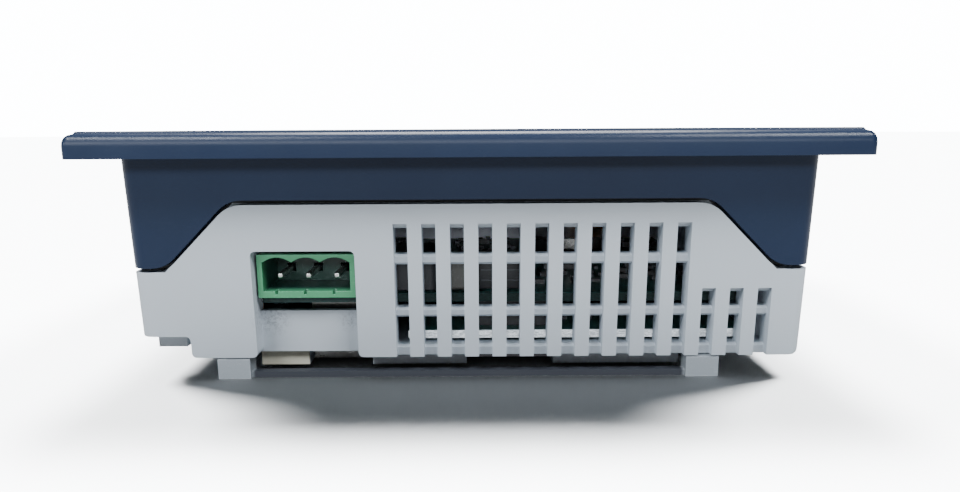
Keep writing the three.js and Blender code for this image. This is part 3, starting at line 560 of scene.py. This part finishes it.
# ---------------------------------------------------------------- finishes by name
def painted_seam_shade(graph, colour):
    """Painted shade on the cover's tongue above the seam: nearly black, so that the seam reads as a
    dark line.
    """
    side_seam, top_seam, slope_end = 19.7 * MM, 31.5 * MM, 72.8 * MM
    axes = graph.axes(graph.position())
    slope = graph.math("SUBTRACT", slope_end, graph.math("ABSOLUTE", axes["X"]))
    seam = graph.math("MINIMUM", graph.math("MAXIMUM", slope, side_seam), top_seam)
    above = graph.math("SUBTRACT", axes["Z"], seam)
    return graph.mix(graph.span(above, 0.05 * MM, 0.2 * MM), colour, (0.008, 0.010, 0.016))


def beige_pad_end(graph, colour):
    """The left end of the rear pad's front wall, tinted beige."""
    pad_top, pad_right, pad_front = 4.0 * MM, -28.4 * MM, -40.3 * MM
    axes = graph.axes(graph.position())
    low = graph.span(axes["Z"], pad_top, pad_top - 0.3 * MM)
    left = graph.span(axes["X"], pad_right, pad_right - 0.4 * MM)
    front = graph.span(axes["Y"], pad_front + 0.5 * MM, pad_front + 0.2 * MM)
    mask = graph.math("MULTIPLY", graph.math("MULTIPLY", low, left), front)
    return graph.mix(mask, colour, (0.60, 0.58, 0.47))


def finger_smudges(graph, colour):
    """Grey smudges in the two upper corners of the ledge under the power header."""
    place = graph.position()
    blotch = graph.span(graph.noise(place, 1700.0, 4.0, 0.7), 0.46, 0.60)
    left_corner = (-36.2 * MM, -42.4 * MM, 10.5 * MM)
    right_corner = (-22.2 * MM, -42.4 * MM, 9.8 * MM)
    for corner, reach in ((left_corner, 4.2 * MM), (right_corner, 2.6 * MM)):
        away = graph.node(
            "ShaderNodeVectorMath", {0: place, 1: corner}, operation="DISTANCE").outputs["Value"]
        near = graph.math("MULTIPLY", graph.span(away, reach, 0.3 * reach), blotch)
        colour = graph.mix(graph.math("MULTIPLY", near, 0.55), colour, (0.20, 0.22, 0.25))
    return colour


def cover_marks_and_shade(graph, colour):
    """What sets parts of the rear cover off from the rest of it: painted shade at the seam, a beige
    end on the pad, and smudges.
    """
    return finger_smudges(graph, beige_pad_end(graph, painted_seam_shade(graph, colour)))


def shaded_depth(graph, colour):
    """Painted shade on the header's nylon: near black towards the bottom of its socket."""
    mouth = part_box("power_header")[0].y
    depth = graph.axes(graph.position())["Y"]
    deep = graph.span(depth, mouth + 0.1 * MM, mouth + 3.0 * MM)
    return graph.mix(deep, colour, (0.006, 0.034, 0.026))


def shaded_underside(graph, colour):
    """Painted shade on the foot frame's bars, which makes them darker than its feet."""
    foot_width = 5.8 * MM
    low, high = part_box("rear_foot_frame")
    across = graph.axes(graph.position())["X"]
    off_middle = graph.math("ABSOLUTE", graph.math("SUBTRACT", across, (low.x + high.x) / 2))
    reach = (high.x - low.x) / 2 - foot_width
    bars = graph.span(off_middle, reach, reach - 0.6 * MM)
    return graph.mix(bars, colour, (0.017, 0.020, 0.027))


def navy_plastic(colour):
    return moulded_material(
        "navy_moulding", tuple(colour), roughness=0.33, grain=4200.0, grain_depth=0.02 * MM,
        worn=0.12, dust=0.004, tone=0.07, worn_colour=(0.025, 0.042, 0.075), specular=0.2)


def grey_plastic(colour):
    return moulded_material(
        "light_grey_moulding", tuple(colour), roughness=0.5, grain=4500.0, grain_depth=0.02 * MM,
        worn=0.25, dust=0.05, tone=0.025, worn_colour=(0.66, 0.69, 0.72), dim=cover_marks_and_shade)


def foot_plastic(colour):
    return moulded_material(
        "foot_grey_moulding", tuple(colour), roughness=0.55, grain=4500.0, grain_depth=0.02 * MM,
        worn=0.3, dust=0.10, tone=0.04, worn_colour=(0.45, 0.47, 0.5), dim=shaded_underside)


def green_nylon(colour):
    return moulded_material(
        "header_green_nylon", tuple(colour), roughness=0.38, grain=6000.0, grain_depth=0.01 * MM,
        worn=0.3, dust=0.05, tone=0.06, worn_colour=(0.12, 0.42, 0.25), dim=shaded_depth)


def black_nylon():
    return moulded_material(
        "black_nylon", tuple(bpy.context.scene.terminal_connectors.nylon), roughness=0.5,
        grain=5200.0, grain_depth=0.012 * MM, worn=0.3, dust=0.02, tone=0.06,
        worn_colour=(0.03, 0.03, 0.035))


def white_nylon():
    return moulded_material(
        "white_nylon", (0.74, 0.74, 0.70), roughness=0.45, grain=6000.0, grain_depth=0.01 * MM,
        worn=0.2, dust=0.05, tone=0.03)


def beige_resin():
    return moulded_material(
        "beige_resin", (0.05, 0.05, 0.045), roughness=0.5, grain=1800.0, grain_depth=0.03 * MM,
        worn=0.2, dust=0.08, tone=0.08)


def ceramic():
    return moulded_material(
        "brown_ceramic", (0.020, 0.021, 0.022), roughness=0.5, grain=1800.0,
        grain_depth=0.02 * MM, worn=0.2, dust=0.05, tone=0.08)


def chip_epoxy():
    return moulded_material(
        "chip_epoxy", (0.006, 0.007, 0.011), roughness=0.6, grain=7000.0, grain_depth=0.01 * MM,
        worn=0.2, dust=0.02, tone=0.08)


def foam_rubber():
    return moulded_material(
        "closed_cell_foam", (0.010, 0.0105, 0.012), roughness=0.9, grain=2400.0,
        grain_depth=0.06 * MM, worn=0.1, dust=0.12, tone=0.15)


def polyimide():
    return moulded_material(
        "polyimide_film", (0.36, 0.12, 0.014), roughness=0.28, grain=1500.0,
        grain_depth=0.01 * MM, worn=0.2, dust=0.04, tone=0.1)


def label_film():
    return moulded_material(
        "label_film", (0.56, 0.58, 0.59), roughness=0.42, grain=5200.0, grain_depth=0.006 * MM,
        worn=0.2, dust=0.05, tone=0.02)


def can_sleeve():
    return moulded_material(
        "can_sleeve", (0.016, 0.02, 0.035), roughness=0.3, grain=2600.0, grain_depth=0.008 * MM,
        worn=0.3, dust=0.08, tone=0.08)


def zinc_steel():
    return metal_material(
        "zinc_plated_steel", (0.50, 0.51, 0.52), roughness=0.34, brushed=0.12, tarnish=0.3)


def dull_steel():
    return metal_material(
        "dull_steel", (0.78, 0.82, 0.90), roughness=0.6, brushed=0.1, tarnish=0.3, metallic=0.35)


def solder():
    return metal_material(
        "dull_solder", (0.11, 0.12, 0.13), roughness=0.55, brushed=0.05, tarnish=0.5)


def tinned():
    return metal_material(
        "tinned_contact", (0.62, 0.62, 0.60), roughness=0.24, brushed=0.05, tarnish=0.2)


def brass():
    return metal_material(
        "turned_brass", (0.58, 0.41, 0.15), roughness=0.3, brushed=0.1, tarnish=0.35)


def gold():
    return metal_material(
        "gold_flash", (0.80, 0.56, 0.20), roughness=0.22, brushed=0.04, tarnish=0.15)


# ---------------------------------------------------------------- housing
def make_housing(context):
    settings = context.scene.terminal_housing
    radius = settings.edge_radius
    rounded_node("front_frame", navy_plastic(settings.navy), radius)
    rounded_node("rear_cover", grey_plastic(settings.light_grey), radius)
    rounded_node("flange_gasket", foam_rubber(), 0.25 * MM)


def make_feet_and_label(context):
    grey = foot_plastic(context.scene.terminal_housing.foot_grey)
    rounded_node("rear_foot_frame", grey, 0.22 * MM)
    work = bmesh.new()
    add_box(work, *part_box("rating_label"))
    upright = [edge for edge in work.edges
               if abs((edge.verts[0].co - edge.verts[1].co).z) > 0.01 * MM]
    bevel(work, upright, 1.2 * MM, segments=5, profile=0.5)
    round_edges(work, 0.06 * MM, 1)
    new_piece("rating_label_finished", mesh_from(work, "rating_label_finished"), HOUSING,
              label_film(), ["rating_label"])


# ---------------------------------------------------------------- display
def make_display(context):
    settings = context.scene.terminal_display
    view_half = (settings.view_width / 2, settings.view_depth / 2)
    touch = dark_glass_material("touch_sheet", tuple(settings.glass), view_half)
    cell = dark_glass_material("lcd_cell", (0.01, 0.011, 0.014))
    rounded_node("front_overlay", film_material(settings), 0.12 * MM)
    rounded_node("touch_panel_glass", touch, 0.15 * MM)
    rounded_node("lcd_glass", cell, 0.1 * MM)
    rounded_node("lcd_frame", zinc_steel(), 0.1 * MM)
    rounded_node("lcd_bracket", dull_steel(), 0.15 * MM)
    rounded_node("touch_gasket", foam_rubber(), 0.1 * MM)
    for node in ("touch_tail", "lcd_flex"):
        rounded_node(node, polyimide(), 0.05 * MM, 1)


# ---------------------------------------------------------------- boards
def footprint(node, margin=0.6 * MM):
    """Middle and half sizes, seen from above, of a node with a margin round it."""
    low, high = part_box(node)
    return ((low.x + high.x) / 2, (low.y + high.y) / 2,
            (high.x - low.x) / 2 + margin, (high.y - low.y) / 2 + margin)


def add_small_part(bodies, caps, x, y, half, base, height):
    """Adds one part's body to the first mesh, and its two end caps to the second."""
    cap_share, cap_height = 0.22, 0.96 * height
    long_axis = 0 if half.x > half.y else 1
    inner = half.copy()
    inner[long_axis] -= cap_share * half[long_axis]
    add_box(bodies, (x - inner.x, y - inner.y, base), (x + inner.x, y + inner.y, base + height))
    for side in (-1, 1):
        low, high = [x - half.x, y - half.y, base], [x + half.x, y + half.y, base + cap_height]
        middle = (x, y)[long_axis]
        ends = sorted((middle + side * inner[long_axis], middle + side * half[long_axis]))
        low[long_axis], high[long_axis] = ends
        add_box(caps, low, high)


def scatter_small_parts(name, board, count, seed, material, keep_out, sizes):
    """Small surface-mounted parts on a board's upper face, placed by chance with room between."""
    edge_margin, gap, lift, tries_each = 2.5 * MM, 0.35 * MM, 0.02 * MM, 6
    rng = random.Random(seed)
    low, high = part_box(board)
    taken = list(keep_out)
    bodies, caps = bmesh.new(), bmesh.new()
    placed = 0
    for _ in range(count * tries_each):
        if placed >= count:
            break
        length, width, height = rng.choice(sizes)
        if rng.random() < 0.5:
            half = Vector((length / 2, width / 2))
        else:
            half = Vector((width / 2, length / 2))
        x = rng.uniform(low.x + edge_margin, high.x - edge_margin)
        y = rng.uniform(low.y + edge_margin, high.y - edge_margin)
        if any(abs(x - tx) < half.x + hx + gap and abs(y - ty) < half.y + hy + gap
               for tx, ty, hx, hy in taken):
            continue
        taken.append((x, y, half.x, half.y))
        placed += 1
        add_small_part(bodies, caps, x, y, half, high.z + lift, height)
    new_piece(name + "_bodies", mesh_from(bodies, name + "_bodies"), HOUSING, material)
    new_piece(name + "_caps", mesh_from(caps, name + "_caps"), HOUSING, solder())


def make_chip(node, leads_per_side, pitch):
    """Gull-wing chip package: moulded body with a row of bent leads on each side."""
    low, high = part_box(node)
    lead_reach, lift, corner_room = 1.1 * MM, 0.02 * MM, 0.4 * MM
    half_width = min(0.26 * pitch, 0.16 * MM)
    half_thick = 0.08 * MM
    body_low = low + Vector((lead_reach, lead_reach, 0.1 * MM))
    body_high = high - Vector((lead_reach, lead_reach, 0))
    work = bmesh.new()
    add_box(work, body_low, body_high, 0.15 * MM)
    new_piece(node + "_finished", mesh_from(work, node), HOUSING, chip_epoxy(),
              [node])
    centre = (low + high) / 2
    half = (body_high - body_low) / 2
    foot = low.z + lift
    exit_low = (body_low.z + body_high.z) / 2 - half_thick
    exit_high = exit_low + 2 * half_thick
    leads = bmesh.new()
    for side in (-1, 1):
        for i in range(leads_per_side):
            step = (i - (leads_per_side - 1) / 2) * pitch
            for out, along in ((0, 1), (1, 0)):
                if abs(step) > half[along] - corner_room:
                    continue
                inner = half[out]
                shoulder = (inner - lift, inner + 0.45 * MM, exit_low, exit_high)
                shank = (inner + 0.35 * MM, inner + 0.52 * MM, foot, exit_high)
                toe = (inner + 0.4 * MM, inner + lead_reach, foot, foot + 0.14 * MM)
                for near, far, bottom, top in (shoulder, shank, toe):
                    corners = [[0, 0, bottom], [0, 0, top]]
                    for corner, reach, width in zip(
                            corners, sorted((side * near, side * far)), (-half_width, half_width)):
                        corner[out] = centre[out] + reach
                        corner[along] = centre[along] + step + width
                    add_box(leads, *corners)
    new_piece(node + "_leads", mesh_from(leads, node + "_leads"), HOUSING, tinned())


def make_link_header():
    """Board-to-board socket strip, with two contact rails in its front face."""
    low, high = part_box("link_header")
    face, end = 0.12 * MM, 0.5 * MM
    body = bmesh.new()
    add_box(body, (low.x, low.y + face, low.z), high, 0.15 * MM)
    new_piece("link_header_finished", mesh_from(body, "link_header"), HOUSING,
              black_nylon(), ["link_header"])
    rails = bmesh.new()
    for share in (0.26, 0.57):
        level = low.z + share * (high.z - low.z)
        add_box(rails, (low.x + end, low.y, level), (high.x - end, low.y + 2 * face, level + face))
    new_piece("link_header_rails", mesh_from(rails, "link_header_rails"), HOUSING, solder())


def make_bulk_capacitor():
    """Can with a rolled groove above its foot and a crimped rim round a sunk top."""
    shares = [(0, 0), (0.9, 0), (0.98, 0.03), (1, 0.06), (1, 0.12), (0.94, 0.155), (0.94, 0.175),
              (1, 0.21), (1, 0.93), (0.96, 0.985), (0.9, 1), (0.84, 0.975), (0, 0.97)]
    make_turned("bulk_capacitor", shares, 40, can_sleeve())


def make_cell():
    """Button cell, its lower cap set in from the outer can by a seal groove."""
    shares = [(0, 0), (0.82, 0), (0.84, 0.10), (0.86, 0.12), (0.88, 0.06), (0.98, 0.08),
              (1, 0.16), (1, 0.94), (0.985, 1), (0, 1)]
    make_turned("coin_cell", shares, 56, tinned())


def make_boards(context):
    settings = context.scene.terminal_boards
    mask = tuple(settings.mask)
    # The main board's cut edge is painted near black: painted shade in the gap under the power
    # header.
    shaded_cut_edge = (shade(mask, 0.25), shade(mask, 0.6))
    milled_edge = ((0.42, 0.45, 0.47), (0.92, 0.95, 0.97))
    for board, edge in (("main_board", shaded_cut_edge), ("io_board", milled_edge)):
        lacquered = board_material(board + "_lacquer", mask, edge)
        rounded_node(board, lacquered, 0.06 * MM, 1)

    standing = ["processor_chip", "memory_chip", "film_capacitor", "bulk_capacitor",
                "power_inductor", "link_header", "cell_holder", "power_header"]
    standing += [f"board_screw_{i}" for i in range(1, 5)]
    low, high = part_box("main_board")
    front_strip = ((low.x + high.x) / 2, low.y, (high.x - low.x) / 2, 5 * MM)
    keep_out = [footprint(node) for node in standing] + [front_strip]
    small, medium = (1.6 * MM, 0.8 * MM, 0.6 * MM), (2.0 * MM, 1.25 * MM, 0.8 * MM)
    large = (3.2 * MM, 1.6 * MM, 1.0 * MM)
    scatter_small_parts("main_board_parts", "main_board", settings.parts * 2, 11,
                        ceramic(), keep_out, [small, medium, large])
    scatter_small_parts("io_board_parts", "io_board", settings.parts // 3, 23,
                        chip_epoxy(), [footprint("ethernet_jack", 1.2 * MM)], [small, medium])

    make_chip("processor_chip", 28, 0.5 * MM)
    make_chip("memory_chip", 12, 0.8 * MM)
    make_link_header()
    make_bulk_capacitor()
    make_cell()
    rounded_node("film_capacitor", beige_resin(), 0.6 * MM, 3)
    rounded_node("power_inductor", chip_epoxy(), 0.3 * MM)
    rounded_node("cell_holder", black_nylon(), 0.2 * MM)
    for i in range(1, 5):
        rounded_node(f"board_pillar_{i}", brass(), 0.15 * MM)


# ---------------------------------------------------------------- connectors
def make_power_header(context):
    green = green_nylon(context.scene.terminal_connectors.header)
    rounded_node("power_header", green, 0.12 * MM)
    for i in range(1, 4):
        rounded_node(f"header_pin_{i}", tinned(), 0.3 * MM, 2)


def make_jack_contacts():
    """Row of eight spring contacts inside the network jack."""
    count, pitch, half_width = 8, 1.02 * MM, 0.2 * MM
    low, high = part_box("ethernet_jack")
    middle = (low + high) / 2
    work = bmesh.new()
    for i in range(count):
        x = middle.x + (i - (count - 1) / 2) * pitch
        add_box(work, (x - half_width, middle.y + 1.6 * MM, low.z + 1.5 * MM),
                (x + half_width, middle.y + 1.9 * MM, low.z + 8 * MM))
    new_piece("ethernet_contacts", mesh_from(work, "ethernet_contacts"), HOUSING, gold())


def make_ports(context):
    rounded_node("ethernet_jack", black_nylon(), 0.2 * MM)
    rounded_node("usb_port", tinned(), 0.15 * MM)
    rounded_node("serial_port", zinc_steel(), 0.15 * MM)
    for i in (1, 2):
        rounded_node(f"serial_jackscrew_{i}", zinc_steel(), 0.15 * MM)
    make_jack_contacts()


# ---------------------------------------------------------------- switches
def make_switches(context):
    rounded_node("dip_switch_body", black_nylon(), 0.15 * MM)
    for i in range(1, 5):
        slider = f"dip_slider_{i}"
        rounded_node(slider, white_nylon(), 0.12 * MM, body=slider)
    rounded_node("reset_switch_body", zinc_steel(), 0.15 * MM)
    rounded_node("reset_button", black_nylon(), 0.2 * MM, 3, "reset_button")


# ---------------------------------------------------------------- fasteners
def make_fasteners(context):
    for kind in ("cover_screw", "bracket_screw", "board_screw"):
        for i in range(1, 5):
            rounded_node(f"{kind}_{i}", zinc_steel(), 0.08 * MM)


# ---------------------------------------------------------------- stage
def aim(lamp, target):
    lamp.rotation_euler = (Vector(target) - lamp.location).to_track_quat("-Z", "Y").to_euler()


def place_light(name, data, location, target, objects, state):
    """Aims a light at a point; it lights only the objects (INCLUDE) or all but them (EXCLUDE)."""
    lamp = bpy.data.objects.new(name, data)
    lamp.location = location
    aim(lamp, target)
    bpy.context.scene.collection.objects.link(lamp)
    linked = bpy.data.collections.new(name + "_linked")
    lamp.light_linking.receiver_collection = linked
    for linked_object in objects:
        linked.objects.link(linked_object)
    for entry in linked.collection_objects:
        entry.light_linking.link_state = state


def soft_sun(name, heading, elevation, strength, spread, objects, state="INCLUDE"):
    """Even light from above; heading is its turn away from straight behind the object."""
    light = bpy.data.lights.new(name, "SUN")
    light.energy = strength
    light.angle = spread
    light.color = (0.98, 0.99, 1.0)
    level = math.cos(elevation)
    place = (level * math.sin(heading), level * math.cos(heading), math.sin(elevation))
    place_light(name, light, place, (0, 0, 0), objects, state)


def softbox(name, location, target, size, power, left_out):
    """Rectangular light in front of the object that leaves some objects alone."""
    light = bpy.data.lights.new(name, "AREA")
    light.shape = "RECTANGLE"
    light.size, light.size_y = size
    light.energy = power
    light.color = (0.93, 0.965, 1.0)
    # With this on, linked lights come out in one of two strengths, by chance.
    light.cycles.use_multiple_importance_sampling = False
    place_light(name, light, location, target, left_out, "EXCLUDE")


def make_camera(settings):
    data = bpy.data.cameras.new("studio_camera")
    data.sensor_width = 36.0
    data.lens = settings.lens
    data.clip_start = 0.005
    data.clip_end = 30.0
    camera = bpy.data.objects.new("studio_camera", data)
    camera.location = settings.eye
    level = Euler((90 * DEGREE - settings.pitch, 0, 0)).to_matrix().to_4x4()
    camera.rotation_euler = (level @ Matrix.Rotation(settings.roll, 4, "Z")).to_euler()
    bpy.context.scene.collection.objects.link(camera)
    bpy.context.scene.camera = camera


def make_floor(settings):
    """Pale round floor, wide enough to reach the horizon of every view."""
    work = bmesh.new()
    bmesh.ops.create_circle(work, cap_ends=True, segments=96, radius=6.0)
    mesh = bpy.data.meshes.new("studio_floor")
    work.to_mesh(mesh)
    work.free()
    mesh.materials.append(floor_material(settings.floor, settings.bounce))
    floor = bpy.data.objects.new("studio_floor", mesh)
    bpy.context.scene.collection.objects.link(floor)
    return floor


def make_world(settings):
    """Soft white surroundings, brighter to the eye than in the light that they give."""
    world = bpy.data.worlds.new("studio_world")
    world.use_nodes = True
    world.node_tree.nodes.clear()
    graph = Graph(world.node_tree)
    seen = graph.node("ShaderNodeLightPath").outputs["Is Camera Ray"]
    background = graph.node("ShaderNodeBackground", {
        "Color": (0.93, 0.97, 1.0, 1.0),
        "Strength": graph.span(seen, 0, 1, settings.sky, settings.backdrop)})
    output = graph.node("ShaderNodeOutputWorld")
    graph.tree.links.new(background.outputs[0], output.inputs["Surface"])
    bpy.context.scene.world = world


def finished(*nodes):
    return [bpy.data.objects[node + "_finished"] for node in nodes]


def make_suns(settings, floor, display):
    """One sun for the object, and three that cast its soft shadow on the floor."""
    key_spread, side_turn, side_drop = 40 * DEGREE, 60 * DEGREE, 13 * DEGREE
    soft_sun("overhead_light", 0.0, settings.elevation, settings.key, key_spread, display,
             "EXCLUDE")
    for number, side in enumerate((-1, 0, 1), 1):
        soft_sun(f"floor_light_{number}", side * side_turn,
                 settings.elevation - abs(side) * side_drop, settings.floor_light / 3,
                 settings.spread, [floor])


def make_front_lights(settings, floor, display):
    """Two broad lights, a low one that reaches in through the grille, and an edge strip."""
    middle, front_edge = (0, 0, 0.02), (0, -0.05, 0.04)
    broad, low_strip, long_strip = (0.5, 0.30), (0.9, 0.08), (2.0, 0.08)
    cover_and_port = finished("rear_cover", "usb_port")
    recessed = finished("power_header", "header_pin_1", "header_pin_2", "header_pin_3")
    for side, name in ((-1, "left_fill"), (1, "right_fill")):
        softbox(name, (side * 0.55, -0.55, 0.95), middle, broad, settings.fill, [floor])
    softbox("inner_fill", (0, -0.90, 0.175), middle, low_strip, settings.inner,
            [floor] + display + cover_and_port + recessed
            + finished("front_frame", "rear_foot_frame"))
    softbox("edge_strip", (-0.25, -0.90, 0.36), front_edge, long_strip, settings.strip,
            [floor] + display + cover_and_port)


def make_stage(context):
    settings = context.scene.terminal_stage
    make_camera(settings)
    floor = make_floor(settings)
    make_world(settings)
    display = finished("front_overlay", "touch_panel_glass")
    make_suns(settings, floor, display)
    make_front_lights(settings, floor, display)


# ---------------------------------------------------------------- operators
class TERMINAL_OT_stage(bpy.types.Operator):
    """Make the camera, the floor and the studio light."""
    bl_idname = "terminal.stage"
    bl_label = "Stage"

    def execute(self, context):
        make_stage(context)
        return {"FINISHED"}


class TERMINAL_OT_housing(bpy.types.Operator):
    """Finish the front frame, the rear cover and the panel seal."""
    bl_idname = "terminal.housing"
    bl_label = "Housing"

    def execute(self, context):
        make_housing(context)
        return {"FINISHED"}


class TERMINAL_OT_display(bpy.types.Operator):
    """Finish the front film, the touch sheet and the display stack."""
    bl_idname = "terminal.display"
    bl_label = "Display"

    def execute(self, context):
        make_display(context)
        return {"FINISHED"}


class TERMINAL_OT_boards(bpy.types.Operator):
    """Finish the circuit boards and what stands on them."""
    bl_idname = "terminal.boards"
    bl_label = "Boards"

    def execute(self, context):
        make_boards(context)
        return {"FINISHED"}


class TERMINAL_OT_power_header(bpy.types.Operator):
    """Finish the power header and its pins."""
    bl_idname = "terminal.power_header"
    bl_label = "Power header"

    def execute(self, context):
        make_power_header(context)
        return {"FINISHED"}


class TERMINAL_OT_ports(bpy.types.Operator):
    """Finish the data ports on the rear face."""
    bl_idname = "terminal.ports"
    bl_label = "Ports"

    def execute(self, context):
        make_ports(context)
        return {"FINISHED"}


class TERMINAL_OT_switches(bpy.types.Operator):
    """Finish the set switches and the reset button."""
    bl_idname = "terminal.switches"
    bl_label = "Switches"

    def execute(self, context):
        make_switches(context)
        return {"FINISHED"}


class TERMINAL_OT_fasteners(bpy.types.Operator):
    """Finish the screws."""
    bl_idname = "terminal.fasteners"
    bl_label = "Fasteners"

    def execute(self, context):
        make_fasteners(context)
        return {"FINISHED"}


class TERMINAL_OT_feet_and_label(bpy.types.Operator):
    """Finish the foot frame and the blank label."""
    bl_idname = "terminal.feet_and_label"
    bl_label = "Feet and label"

    def execute(self, context):
        make_feet_and_label(context)
        return {"FINISHED"}


# The stage comes last: its lights are linked to finished pieces.
OPERATORS = [
    TERMINAL_OT_housing,
    TERMINAL_OT_display,
    TERMINAL_OT_boards,
    TERMINAL_OT_power_header,
    TERMINAL_OT_ports,
    TERMINAL_OT_switches,
    TERMINAL_OT_fasteners,
    TERMINAL_OT_feet_and_label,
    TERMINAL_OT_stage,
]


class TERMINAL_PT_panel(bpy.types.Panel):
    """Sidebar panel with the settings and one button per group of pieces."""
    bl_idname = "TERMINAL_PT_panel"
    bl_label = "Operator Terminal"
    bl_space_type = "VIEW_3D"
    bl_region_type = "UI"
    bl_category = "Terminal"

    def draw(self, context):
        layout = self.layout
        for attribute, group in SETTINGS:
            box = layout.box()
            settings = getattr(context.scene, attribute)
            for prop in group.__annotations__:
                box.prop(settings, prop)
        for made in OPERATORS:
            layout.operator(made.bl_idname)


SETTINGS = [
    ("terminal_housing", HousingSettings),
    ("terminal_display", DisplaySettings),
    ("terminal_boards", BoardSettings),
    ("terminal_connectors", ConnectorSettings),
    ("terminal_stage", StageSettings),
]


def register():
    for attribute, group in SETTINGS:
        bpy.utils.register_class(group)
        setattr(bpy.types.Scene, attribute, PointerProperty(type=group))
    for made in OPERATORS:
        bpy.utils.register_class(made)
    bpy.utils.register_class(TERMINAL_PT_panel)


def unregister():
    bpy.utils.unregister_class(TERMINAL_PT_panel)
    for made in reversed(OPERATORS):
        bpy.utils.unregister_class(made)
    for attribute, group in reversed(SETTINGS):
        delattr(bpy.types.Scene, attribute)
        bpy.utils.unregister_class(group)


def main():
    register()
    for made in OPERATORS:
        getattr(bpy.ops.terminal, made.bl_idname.split(".")[1])()


if __name__ == "__main__":
    main()
